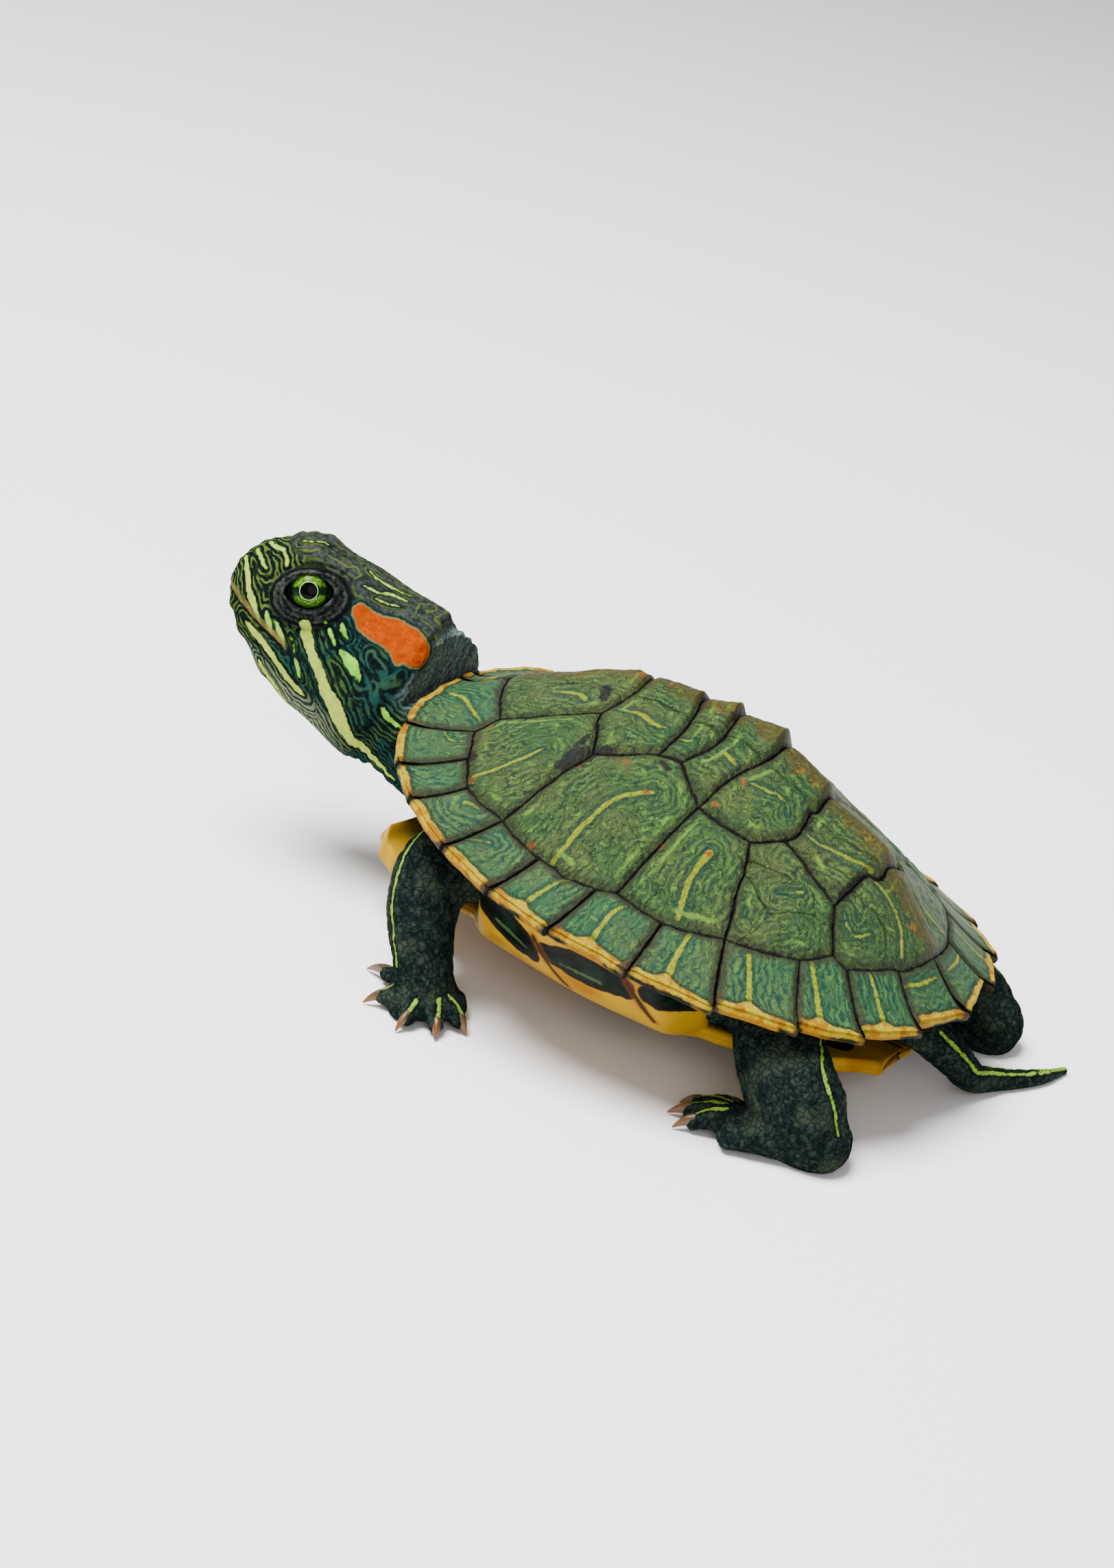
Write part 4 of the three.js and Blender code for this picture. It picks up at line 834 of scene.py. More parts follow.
def plate_relief(flat, to_edge, values):
    """Grain, fine lines along the strokes, growth rings near the edge, and raised strokes (mm)."""
    p = np.column_stack([flat * 1.4, np.zeros(len(flat))])
    fine = np.column_stack([values["flow"] * 2.6, values["run"] * 0.8, np.zeros(len(flat))])
    grain = value_noise(p, 11) * GRAIN_HEIGHT + value_noise(fine, 12) * LINE_HEIGHT
    growth = np.sin(to_edge * 2 * math.pi / GROWTH_RING) * bump(to_edge, 3.0) * GROWTH_HEIGHT
    return grain + growth + bump(np.maximum(values["stripe"], 0), 0.12) * STRIPE_HEIGHT


for n in range(len(FLANKS)):
    plate(f"vertebral_{n + 1}", f"vertebral_{n + 1}", vertebral(n), 0)
for n in range(len(COSTALS)):
    for side, turn in (("left", 1), ("right", -1)):
        plate(f"costal_{side}_{n + 1}", f"costal_{n + 1}", costal(n) * (1, turn), turn)


# ---------------------------------------------------------------- marginal plates
RIM_CORNERS = {1: "m1", 7: "m7", 10: "m10"}        # where an inner seam meets the rim within plate k
FRONT_BULGE = 1.01                # reach of the small plate over the neck, as a share of the rim's radius
RIM_SHARES = [0, 0.012, 0.026, 0.045], 0.07, 0.95, [0.97, 0.985]      # rows from the inner seam to the rim
RIM_NOSE = np.radians(np.linspace(60, -60, 7))     # the rounded rim, from above to below
RIM_BACK = np.array([0.93, 0.8, 0.6, 0.35, 0.12, 0.0])                # and back underneath


def rim_bulge(k, f):
    """The rear corner of each plate stands out a little, most of all over the tail."""
    rear = np.clip((k - 4) / 5, 0.15, 1)
    return 1 + rear * (0.026 * f ** 3 - 0.012 * (1 - f) ** 2)


def marginal(k, side):
    """Plate k of the rim; k = 0 is the small plate over the neck."""
    inner_line = seam(f"{k - 1} {RIM_CORNERS.get(k, '')} {k}") if k else cross(0)
    first, last = RIM_SEAMS[k - 1:k + 1] if k else (360 - RIM_SEAMS[0], RIM_SEAMS[0])
    columns = max(18, int(len(inner_line) * 1.1))
    length = ways(inner_line)[-1]
    margin = PLATE_GAP / length
    f = np.linspace(margin, 1 - margin, columns)
    bulge = rim_bulge(k, f) if k else np.full(columns, FRONT_BULGE)
    start = wavy(points_at(inner_line, f * length))
    end = wavy(plan(np.radians(first + (last - first) * f), bulge))
    reach = np.linalg.norm(end - start, axis=1).mean()
    level = dome_height(plan_of(end[:, 0], end[:, 1])[0], np.ones(columns))

    begin, low_share, high_share, finish = RIM_SHARES
    g = np.concatenate([begin, np.linspace(low_share, high_share, max(16, int(reach / STEP))), finish])
    top = start[:, None] + (end - start)[:, None] * g[None, :, None]
    flat = top.reshape(-1, 2)
    height = np.maximum(shell_height(flat[:, 0], flat[:, 1]), np.repeat(level, len(g)))
    ends = np.vstack([top[0], top[-1]])
    to_edge = nearest(flat, np.vstack([start, ends]))
    lowered = RIM_GROOVE * bump(to_edge, GROOVE_WIDTH)
    top = np.column_stack([flat, height - lowered]).reshape(columns, len(g), 3)

    half_thick = RIM_THICKNESS / 2
    low_z = (level - RIM_THICKNESS)[:, None]
    nose_xy = end[:, None] + unit(end - start)[:, None] * (half_thick * (np.cos(RIM_NOSE) - 1))[None, :, None]
    nose = np.dstack([nose_xy, low_z + half_thick + half_thick * np.sin(RIM_NOSE)[None]])
    low_xy = start[:, None] + (end - start)[:, None] * RIM_BACK[None, :, None]
    low = np.dstack([low_xy, low_z + 0.1 * (1 - RIM_BACK)[None]])
    points, faces = closed(np.concatenate([top, nose, low], axis=1) * (1, side, 1))

    to_end = nearest(np.hstack([nose_xy, low_xy]).reshape(-1, 2), ends)
    none = np.zeros(len(RIM_NOSE))
    to_rim = np.concatenate([(1 - g) * reach, none, (1 - RIM_BACK) * reach])
    underneath = np.concatenate([0 * g, np.linspace(0, 1, len(none)), RIM_BACK * 0 + 1])
    fields = {"edge": np.hstack([to_edge.reshape(columns, -1), to_end.reshape(columns, -1)]),
              "rim": np.tile(to_rim, (columns, 1)), "under": np.tile(underneath, (columns, 1))}
    values = {key: np.append(v.ravel(), [v[0, 0], v[-1, 0]]) for key, v in fields.items()}
    values |= pattern(f"marginal_{k}" if k else "cervical", points[:, :2], side if k else 0)
    node = f"marginal_{'left' if side == 1 else 'right'}_{k}" if k else "cervical"
    return make(f"scute_{node}", points, faces, "rim", [node], values)


marginal(0, 1)
for k in range(1, len(RIM_SEAMS)):
    for side in (1, -1):
        marginal(k, side)


# ---------------------------------------------------------------- plastron and bridges
PLASTRON_FRONT, PLASTRON_REAR = -21.6, 20.3
PLASTRON_LOW, PLASTRON_DIP, PLASTRON_UPTURN, PLASTRON_THICK = -8.3, 2.0, 0.8, 1.2
PLASTRON_HALF = [(-21.6, 6.2), (-20.3, 7.8), (-16, 10.4), (-9.8, 11.9), (-8.2, 13.2), (7.6, 13.0),
                 (9.6, 11.2), (15, 9.4), (20.3, 4.2)]          # half widths along the plastron
PLASTRON_SEAMS = [-17.2, -12.4, -4.6, 5.4, 12.8]
PLASTRON_BLOTCHES = [(-19.2, 2.8, 0.5), (-14.8, 5.2, 1.3), (-8.6, 6.0, 1.9), (0.6, 6.4, 2.4), (9.2, 5.6, 1.8),
                     (16.2, 3.8, 1.2)]            # (x, y, radius)
PLASTRON_NOSE, PLASTRON_SEAM_DEPTH, PLASTRON_SEAM_WIDTH = 0.6, 0.18, 0.22
FRONT_DENT, REAR_NOTCH = 0.5, 1.6


def belly(x, y):
    """The belly's underside without the front edge's dip."""
    return PLASTRON_LOW + 0.085 * (x - 1 + np.hypot(x - 1, 3)) + 0.006 * y * y


def plastron_low(x, y):
    return belly(x, y) - PLASTRON_DIP * smooth(-x, 9, 19) + PLASTRON_UPTURN * smooth(-x, 19.2, 22.6)


def plastron_fields(x, y):
    """Distance to the seams, and signed distance to the dark blotch in each plate of the belly."""
    bend = 0.5 * np.sin(y * 0.5)
    to_seam = np.min([np.abs(x - at - bend) for at in PLASTRON_SEAMS] + [np.abs(y)], axis=0)
    blotch = np.min([np.hypot((x - bx) / 1.1, np.abs(y) - by) - r for bx, by, r in PLASTRON_BLOTCHES], axis=0)
    return {"edge": to_seam, "blotch": blotch, "mark": np.full(x.shape, FAR)}


def rounded(distance, radius):
    """What is left of the thickness, as a share, near an edge rounded off over `radius`."""
    return np.sqrt(np.clip(1 - (1 - np.clip(distance / radius, 0, 1)) ** 2, 0, 1))


def plastron():
    rows, columns = 180, 121
    f = np.linspace(0, 1, rows)
    # both ways, the points lie closer at the edges
    lengthwise, across = (np.sin(np.linspace(-1, 1, count) * math.pi / 2) for count in (rows, columns))
    x = PLASTRON_FRONT + (PLASTRON_REAR - PLASTRON_FRONT) * (lengthwise * 0.5 + 0.5)
    half = along(PLASTRON_HALF, x)[:, None]
    xx, yy = np.repeat(x[:, None], columns, 1), half * across
    to_end = np.minimum(xx - PLASTRON_FRONT, PLASTRON_REAR - xx)
    swell = rounded(np.minimum(half - np.abs(yy), to_end), PLASTRON_NOSE)
    lip = 0.75 * bump(xx - PLASTRON_FRONT - 0.55, 0.55) + 0.3 * bump(xx - PLASTRON_FRONT - 1.6, 1.6)
    middle = plastron_low(xx, yy) + PLASTRON_THICK / 2
    under = middle - (PLASTRON_THICK / 2 + lip * 0.4) * swell
    over = middle + (PLASTRON_THICK / 2 + lip) * swell
    central = np.maximum(0, 1 - np.abs(across))
    cut = FRONT_DENT * smooth(-f, -0.06, 0) - REAR_NOTCH * smooth(f, 0.93, 1)
    xx = xx + cut[:, None] * central
    faces_of_sheet = np.dstack([xx, yy, under]), np.dstack([xx, yy, over])[:, ::-1]
    points, faces = closed(np.concatenate(faces_of_sheet, axis=1))
    values = plastron_fields(points[:, 0], points[:, 1])
    groove = smooth(bump(values["edge"], PLASTRON_SEAM_WIDTH), 0, 1) * PLASTRON_SEAM_DEPTH
    points[:, 2] += groove * np.where(points[:, 2] < plastron_low(points[:, 0], points[:, 1]) + 0.5, 1, -1)
    return make("plastron_shell", points, faces, "plastron", ["plastron"], values)


BRIDGE_FRONT, BRIDGE_REAR = -9.2, 9.6
BRIDGE_TOP, BRIDGE_CURVE = 17.9, 27          # the upper edge's half width, and its radius in plan
BRIDGE_WALL = np.array([-0.9, 0.45])         # from the outer face to the inner one, (inward, up)
BRIDGE_NOSE, BRIDGE_BEND = 0.5, (0.45, 0.62)
DRAW_LENGTH, FOOT_DRAW, TOP_DRAW = 2.6, 1.2, 3.2   # how the bridge draws in toward its ends
BRIDGE_BLOTCHES = [[(-7.0, -3.0, 0.9), (-4.9, -3.6, 1.35), (-3.2, -4.3, 1.2), (-2.5, -4.9, 0.6)],
                   [(-1.1, -3.8, 0.7), (1.6, -3.2, 1.25), (4.0, -2.7, 1.3), (5.0, -2.7, 0.9)],
                   [(6.9, -2.3, 0.7), (8.4, -2.2, 0.9), (9.4, -2.4, 0.8)]]           # (x, z, half width)
BRIDGE_MARKS = [[(-5.8, -3.9, 0.05), (-4.2, -4.2, 0.12), (-3.0, -4.6, 0.05)],
                [(0.0, -4.0, 0.03), (3.4, -3.5, 0.1)]]
BRIDGE_SEAMS = [[(-2.4, -3.0, 0), (-1.2, -4.6, 0), (0.3, -6.2, 0)], [(5.4, -2.2, 0), (7.4, -4.6, 0)]]


def arc(start, end, bend, s):
    """A curve from start to end for each row, through the point that is `bend` of the way at half way."""
    middle = 2 * (start + (end - start) * bend) - (start + end) / 2
    return (1 - s) ** 2 * start[:, None] + 2 * s * (1 - s) * middle[:, None] + s ** 2 * end[:, None]


def bridge(side):
    rows, name = 110, "left" if side == -1 else "right"
    x = np.linspace(BRIDGE_FRONT, BRIDGE_REAR, rows)
    to_end = np.minimum(x - BRIDGE_FRONT, BRIDGE_REAR - x)
    draw_in = (1 - smooth(to_end, 0, DRAW_LENGTH)) ** 2
    theta = plan_of(x, np.full(rows, -15.0))[0]
    rim_y = np.abs(np.sin(theta)) * rim_radius(theta)
    foot_y = along(PLASTRON_HALF, x) + 0.45 - FOOT_DRAW * draw_in
    foot = foot_y, plastron_low(x, foot_y) + 0.1
    top_y = np.minimum(BRIDGE_TOP * np.sqrt(1 - (x / BRIDGE_CURVE) ** 2), rim_y - 0.9) - TOP_DRAW * draw_in
    top = top_y, dome_height(theta, np.ones(rows)) - RIM_THICKNESS - 0.3
    s = np.linspace(0, 1, 60)
    outer = np.stack([arc(top[a], foot[a], BRIDGE_BEND[a], s) for a in (0, 1)])
    inner = outer + BRIDGE_WALL[:, None, None]
    middle, half = (outer + inner) / 2, (outer - inner) / 2 * rounded(to_end, BRIDGE_NOSE)[:, None]
    y, z = np.concatenate([middle + half, (middle - half)[:, :, ::-1]], 2)
    points, faces = closed(np.dstack([np.repeat(x[:, None], y.shape[1], 1), side * y, z]))
    strokes = {"edge": BRIDGE_SEAMS, "blotch": BRIDGE_BLOTCHES, "mark": BRIDGE_MARKS}
    values = {key: stroke_fields(points[:, (0, 2)], value)[0] for key, value in strokes.items()}
    return make(f"bridge_shell_{name}", points, faces, "plastron", [f"bridge_{name}"], values)


plastron()
for side in (-1, 1):
    bridge(side)


# ---------------------------------------------------------------- flesh, as a distance field
def frames_along(stations, up, count=48):
    """Centres, tangents, section axes and half sizes along a tube of (x, y, z, half width, half height)."""
    stations = np.array(stations, float)
    per_span = max(4, count // (len(stations) - 1))
    centre = curve_through(stations[:, :3], per_span)
    share = np.linspace(0, len(stations) - 1, len(centre))
    size = np.column_stack([np.interp(share, range(len(stations)), stations[:, a]) for a in (3, 4)])
    tangent = unit(np.gradient(centre, axis=0))
    across = unit(np.cross(tangent, up))
    high = np.cross(across, tangent)
    return np.hstack([centre, tangent, across, high, size])


def tube_distance(p, table, block=60000):
    """Signed distance, roughly, to the tube with an oval section."""
    out = np.full(len(p), FAR)
    reach = table[:, 12:].max() + 1.5
    near = np.nonzero(((p > table[:, :3].min(0) - reach) & (p < table[:, :3].max(0) + reach)).all(1))[0]
    spacing = np.linalg.norm(np.diff(table[:, :3], axis=0), axis=1).mean()
    for start in range(0, len(near), block):
        index = near[start:start + block]
        q = p[index]
        row = ((q[:, None] - table[None, :, :3]) ** 2).sum(-1).argmin(1)
        shift = ((q - table[row, :3]) * table[row, 3:6]).sum(1) / spacing
        place = np.clip(row + np.clip(shift, -1, 1), 0, len(table) - 1)
        low = np.minimum(place.astype(int), len(table) - 2)
        f = (place - low)[:, None]
        t = table[low] * (1 - f) + table[low + 1] * f
        d = q - t[:, :3]
        a, b = t[:, 12], t[:, 13]
        s, u, w = ((d * t[:, first:first + 3]).sum(1) for first in (3, 6, 9))
        thin = np.minimum(a, b)
        k = np.sqrt((u / a) ** 2 + (w / b) ** 2 + (s / thin) ** 2)
        slope = np.sqrt((u / a ** 2) ** 2 + (w / b ** 2) ** 2 + (s / thin ** 2) ** 2)
        out[index] = np.where(slope > 1e-6, k * (k - 1) / np.maximum(slope, 1e-6), -thin)
    return out


def blend_in(field, other, radius):
    """Smooth union of two distance fields."""
    h = np.maximum(radius - np.abs(field - other), 0) / radius
    return np.minimum(field, other) - h * h * radius / 4


def floor_at(x, y):
    """The height of the floor, which is level in the row frame and slopes in the shell's axes."""
    return -STANCE + math.tan(PITCH) * x - math.tan(LEAN) / math.cos(PITCH) * y


# ---------------------------------------------------------------- legs, tail and neck
DIGIT_OUT, DIGIT_THICK = 1.3, 0.78
# Stations of a tube are (x, y, z, half width, half height). A palm's are (x, y, lift over the floor,
# half width, half height), and its digits (degrees, reach) start round its "root".
FORELEG = {
    "line": [(-11.4, -7.6, -3.2, 3.0, 3.0), (-12.2, -10.8, -3.9, 3.1, 3.0), (-12.6, -13.5, -4.7, 3.0, 2.9),
             (-11.9, -15.2, -6.6, 2.8, 2.6), (-10.3, -16.1, -9.2, 2.4, 2.15), (-9.0, -16.3, -11.3, 2.3, 1.9)],
    "up": (-1, 0, 0),
    "palm": [(-6.9, -15.3, 0.8, 1.7, 1.0), (-8.6, -16.5, 1.2, 2.5, 1.5), (-9.9, -17.6, 0.75, 2.2, 1.0)],
    "root": (-8.2, -16.3), "digits": [(166, 6.6), (217, 4.5), (274, 4.3), (312, 4.2), (348, 3.9)],
}
HINDLEG = {
    "line": [(12.9, -7.2, -2.3, 3.0, 2.8), (14.4, -10.2, -3.0, 3.3, 3.1), (16.8, -12.2, -4.3, 3.4, 3.2),
             (18.9, -12.7, -5.6, 3.2, 3.1), (20.2, -12.6, -6.9, 2.7, 2.4)],
    "up": (-0.7, -0.7, 0),
    "palm": [(21.1, -12.2, 1.45, 2.2, 1.7), (18.0, -13.1, 1.35, 2.7, 1.6), (15.2, -14.0, 0.8, 3.0, 1.05)],
    "root": (15.7, -13.8), "digits": [(150, 4.3), (172, 5.0), (194, 5.0), (217, 4.5)],
}
# Stations of a finger: (share of the reach, lift, half width and half height as shares of DIGIT_THICK).
FINGER = [(0, 1.25, 1.15, 1.1), (0.32, 1.22, 1, 1), (0.62, 0.819, 0.8, 0.76)]
LEVEL = (0, 0, 1)


class Limb:
    """One leg: a shape for the left side, mirrored by side = -1, with its foot moved by (dx, dy)."""

    def __init__(self, name, shape, side, dx, dy):
        self.name, self.shape, self.side, self.dx, self.dy = name, shape, side, dx, dy
        self.digits = range(len(shape["digits"]))

    def moved(self, x, y, share=1):
        return x + self.dx * share, self.side * (y + self.dy * share)

    def upper(self):
        """The tube from inside the shell to the wrist or the ankle, which moves with the foot."""
        out, last = [], len(self.shape["line"]) - 1
        for i, (x, y, z, *size) in enumerate(self.shape["line"]):
            share = (i / last) ** 1.5
            px, py = self.moved(x, y, share)
            out.append((px, py, z + share * (floor_at(px, py) - floor_at(x, y)), *size))
        return frames_along(out, np.array(self.shape["up"]) * (1, self.side, 1))

    def palm(self):
        placed = [(*self.moved(x, y), lift, size) for x, y, lift, *size in self.shape["palm"]]
        return frames_along([(x, y, floor_at(x, y) + lift, *size) for x, y, lift, size in placed], LEVEL, 24)

    def on_digit(self, number, share, lift):
        """A point over the floor, a share of the way out along a digit."""
        degrees, reach = self.shape["digits"][number]
        turn = math.radians(degrees) * self.side
        x, y = self.moved(*self.shape["root"])
        out = DIGIT_OUT + (reach - DIGIT_OUT) * share
        x, y = x + math.cos(turn) * out, y + math.sin(turn) * out
        return x, y, floor_at(x, y) + lift

    def finger(self, number):
        stations = [(*self.on_digit(number, share, lift), DIGIT_THICK * a, DIGIT_THICK * b)
                    for share, lift, a, b in FINGER]
        return frames_along(stations, LEVEL, 16)


LIMBS = [Limb("foreleg_left", FORELEG, 1, 0, 0), Limb("foreleg_right", FORELEG, -1, -1.4, 0.3),
         Limb("hindleg_left", HINDLEG, 1, 0, 0), Limb("hindleg_right", HINDLEG, -1, 1.0, -0.4)]


def tail_on_floor(x, y, radius):
    return (x, y, floor_at(x, y) + radius * 0.95, radius, radius)


TAIL = frames_along([(16.6, 0.3, -2.0, 2.5, 1.6), (20.2, 1.1, -2.4, 2.1, 1.6), (22.6, 2.8, -3.9, 1.5, 1.4),
                     (23.9, 4.7, -5.4, 1.15, 1.1), tail_on_floor(25.2, 7.2, 0.85),
                     tail_on_floor(27.0, 10.4, 0.6), tail_on_floor(27.8, 13.4, 0.3)], LEVEL, 72)
NECK_END = from_head(HEAD_LENGTH + 0.3, 0, -0.2)
NECK = frames_along([(-15.4, 0.6, -2.6, 6.2, 4.2), (-18.8, 0.0, -2.4, 6.3, 4.5),
                     (-21.6, -0.9, -1.6, 6.2, 5.2), (-24.2, -1.9, 0.1, 6.0, 6.1),
                     (*NECK_END, 5.6, 6.3)], LEVEL, 60)


# ---------------------------------------------------------------- the head
# Outlines of the head as (t, size): the top, the underside and the half width.
SNOUT = -0.4                      # where the head begins
HEAD_TOP = [(-0.4, 0.3), (0, 1.75), (0.4, 2.6), (0.9, 3.15), (1.5, 3.7), (2.1, 4.6), (3, 5.2), (4, 5.65),
            (5.5, 5.5), (8.7, 5.8), (11.7, 5.85), (15, 5.9)]
HEAD_LOW = [(-0.4, 0.3), (0, -1.3), (0.3, -1.95), (1.1, -2.9), (2.9, -4.0), (6, -5.35), (8.3, -5.85),
            (12, -5.95), (15, -5.95)]
HEAD_HALF = [(-0.4, 0.1), (0, 1.35), (0.7, 2.1), (2, 2.7), (4, 3.5), (6.6, 4.1), (9, 4.5),
             (12, 4.95), (15, 5.3)]
HEAD_CROWN, HEAD_JAW = 2.5, 2.15  # how square the section is above and below its widest level

# Around each eye, in head axes: the way it looks, the way its dark bar runs, and the third axis.
GAZE = unit([0.015, 0.988, 0.153])
BAR_WAY = np.array([0.80, -0.02, 0.60])
BAR = unit(BAR_WAY - GAZE * (BAR_WAY @ GAZE))
BROWWARD = np.cross(GAZE, BAR)
OPENING, OPENING_RISE, OPENING_POWER = np.array([1.82, 1.3]), 0.1, 1.7
LID, LID_RISE, LID_BULGE = np.array([3.05, 2.2]), 0.45, 2.42
LID_BLEND, LID_GROOVE, LID_RING, LID_EDGE = 0.35, 0.3, 0.07, 0.1      # the groove round the lids, rings, edge
SOCKET_DEPTH, EYE_SWELL = 0.35, 0.42
MOUTH = [(-0.4, -1.25), (0.6, -1.5), (1.8, -1.75), (3.3, -1.9), (4.7, -2.0), (6.2, -2.05)]
MOUTH_END, MOUTH_DEPTH, JAW_INSET = 6.2, 0.26, 0.12
NOSTRIL, NOSTRIL_RADIUS = (0.15, 0.45, 1.0), 0.24


def on_jaws(t):
    """1 along the mouth, 0 behind its corner."""
    return smooth(-t, -MOUTH_END - 0.3, -MOUTH_END + 0.6)


def nostril_distance(t, v, w):
    t0, v0, w0 = NOSTRIL
    return np.sqrt((t - t0) ** 2 * 0.6 + (np.abs(v) - v0) ** 2 + (w - w0) ** 2) - NOSTRIL_RADIUS


def eye_axes(t, v, w):
    """Millimetres from the centre of the eye on that side: along the bar, toward the brow, outward."""
    d = np.stack([t, np.abs(v), w], 1)
    d = (d - EYE_PLACE) * HEAD_SCALE
    return d @ BAR, d @ BROWWARD, d @ GAZE


def lid_fields(t, v, w):
    """Shares of the opening's and of the lids' half sizes (1 on the border), and the outward distance."""
    a, b, out = eye_axes(t, v, w)
    across, high = np.abs(a / OPENING[0]), np.abs((b - OPENING_RISE) / OPENING[1])
    opening = (across ** OPENING_POWER + high ** OPENING_POWER) ** (1 / OPENING_POWER)
    lid = np.hypot(a / LID[0], (b - LID_RISE) / LID[1])
    return opening, lid, out, a, b


def add_lids(d, t, v, w):
    """The head's field with the lids bulging from it, their groove and rings, and the opening for the eye."""
    opening, lid, out, a, b = lid_fields(t, v, w)
    dome = np.sqrt((a / LID[0]) ** 2 + ((b - LID_RISE * 0.6) / (LID[1] + 0.25)) ** 2 + (out / LID_BULGE) ** 2)
    lids = (dome - 1) * LID[1]
    lids = np.where(out > 0, lids, FAR)
    d = blend_in(d, lids, LID_BLEND)
    d = d + np.where(out > 0, LID_GROOVE * bump(lid - 1.06, 0.09), 0)
    rings = LID_RING * np.cos((lid * 3.1 + 0.2 * np.sin(a * 1.3)) * 2 * math.pi) * smooth(opening, 1.0, 1.3)
    rings = rings * smooth(-lid, -1.0, -0.9) + LID_EDGE * bump(opening - 1.12, 0.12)
    d = d - np.where(out > 0, rings, 0)
    to_centre = np.sqrt(a * a + b * b + out * out)
    hole = np.maximum((opening - 1) * OPENING[1], EYE_RADIUS - SOCKET_DEPTH - to_centre)
    return np.maximum(d, np.where(out > 0, -hole, -FAR))


def head_distance(p):
    out = np.full(len(p), FAR)
    t, v, w = to_head(p)
    near = np.nonzero((t > -1.6) & (t < HEAD_LENGTH + 1.6) & (np.abs(v) < 7.5) & (np.abs(w) < 8))[0]
    t, v, w = t[near], np.abs(v[near]), w[near]
    s = np.clip(t, SNOUT, HEAD_LENGTH)
    top, low, half = along(HEAD_TOP, s), along(HEAD_LOW, s), along(HEAD_HALF, s)
    waist = 0.4 - np.clip(s / 10, 0, 1)
    half = half + EYE_SWELL * bump(t - EYE_PLACE[0], 2.4) * bump(w - EYE_PLACE[2], 2.0)
    power = np.where(w > waist, HEAD_CROWN, HEAD_JAW)
    tall = np.maximum(np.where(w > waist, top - waist, waist - low), 0.15)
    k = ((v / half) ** power + (np.abs(w - waist) / tall) ** power) ** (1 / power)
    d = (k - 1) * np.minimum(half, tall) * 0.95
    beyond = np.maximum(SNOUT - t, t - HEAD_LENGTH)
    d = np.where(beyond > 0, np.hypot(np.maximum(d, 0), beyond), d) * HEAD_SCALE
    d = add_lids(d, t, v, w)
    gape = w - along(MOUTH, t)
    inset_jaw = JAW_INSET * smooth(-gape, 0, 0.25) * bump(gape, 1.6)
    d = d + on_jaws(t) * (MOUTH_DEPTH * bump(gape, 0.1) + inset_jaw)
    out[near] = np.maximum(d, -nostril_distance(t, v, w) * HEAD_SCALE)
    return out


# ---------------------------------------------------------------- all the flesh together
TRUNK_REACH, TRUNK_NARROWER, TRUNK_WIDER = 0.69, 0.11, 0.16      # shares of the rim's radius
TRUNK_UNDER_PLATES, TRUNK_OVER_BELLY = 0.99, 0.65
CLEARANCE = 0.3                   # from the skin to the plastron's sides and ends


def trunk_distance(p):
    """The body inside the shell, narrower low down and wider toward the legs."""
    x, y, z = p.T
    theta, rho = plan_of(x, y)
    top = z - (shell_height(x, y) - PLATE_THICKNESS - TRUNK_UNDER_PLATES)
    low = belly(x, y) + PLASTRON_THICK + TRUNK_OVER_BELLY
    to_legs = smooth(np.abs(x - 0.5), 6.5, 10)
    reach = TRUNK_REACH - TRUNK_NARROWER * smooth(low - z, -7, 0) + TRUNK_WIDER * to_legs
    side = (rho - reach) * rim_radius(theta)
    return np.maximum(np.maximum(top, low - z), side)


def shell_distance(p):
    """How far p is inside the space that the plates and the plastron need (positive inside)."""
    x, y, z = p.T
    theta, rho = plan_of(x, y)
    rim_z = dome_height(theta, np.ones(len(p))) - RIM_THICKNESS - 0.35
    under_rim = np.where(np.hypot(x - SHELL_CENTRE, y) < 1.05 * rim_radius(theta), z - rim_z, -FAR)
    under_plates = np.where(rho < 0.72, z - (shell_height(x, y) - PLATE_THICKNESS - 1.0), under_rim)
    inward = along(PLASTRON_HALF, x) + CLEARANCE - np.abs(y)
    over = np.minimum(plastron_low(x, y) + PLASTRON_THICK + 0.35 - z, inward)
    lengthwise = (x > PLASTRON_FRONT - CLEARANCE) & (x < PLASTRON_REAR + CLEARANCE)
    return np.maximum(under_plates, np.where(lengthwise, over, -FAR))


TUBES = []                        # (table, radius of the blend)
for limb in LIMBS:
    TUBES += [(limb.upper(), 0.9), (limb.palm(), 0.7)]
    TUBES += [(limb.finger(number), 0.45) for number in limb.digits]
TUBES += [(TAIL, 0.6), (NECK, 1.2)]
HEAD_BLEND = 1.5


def flesh(p):
    field = trunk_distance(p)
    for table, radius in TUBES:
        field = blend_in(field, tube_distance(p, table), radius)
    field = np.maximum(field, shell_distance(p))
    field = blend_in(field, head_distance(p), HEAD_BLEND)
    return np.maximum(field, floor_at(p[:, 0], p[:, 1]) - p[:, 2])


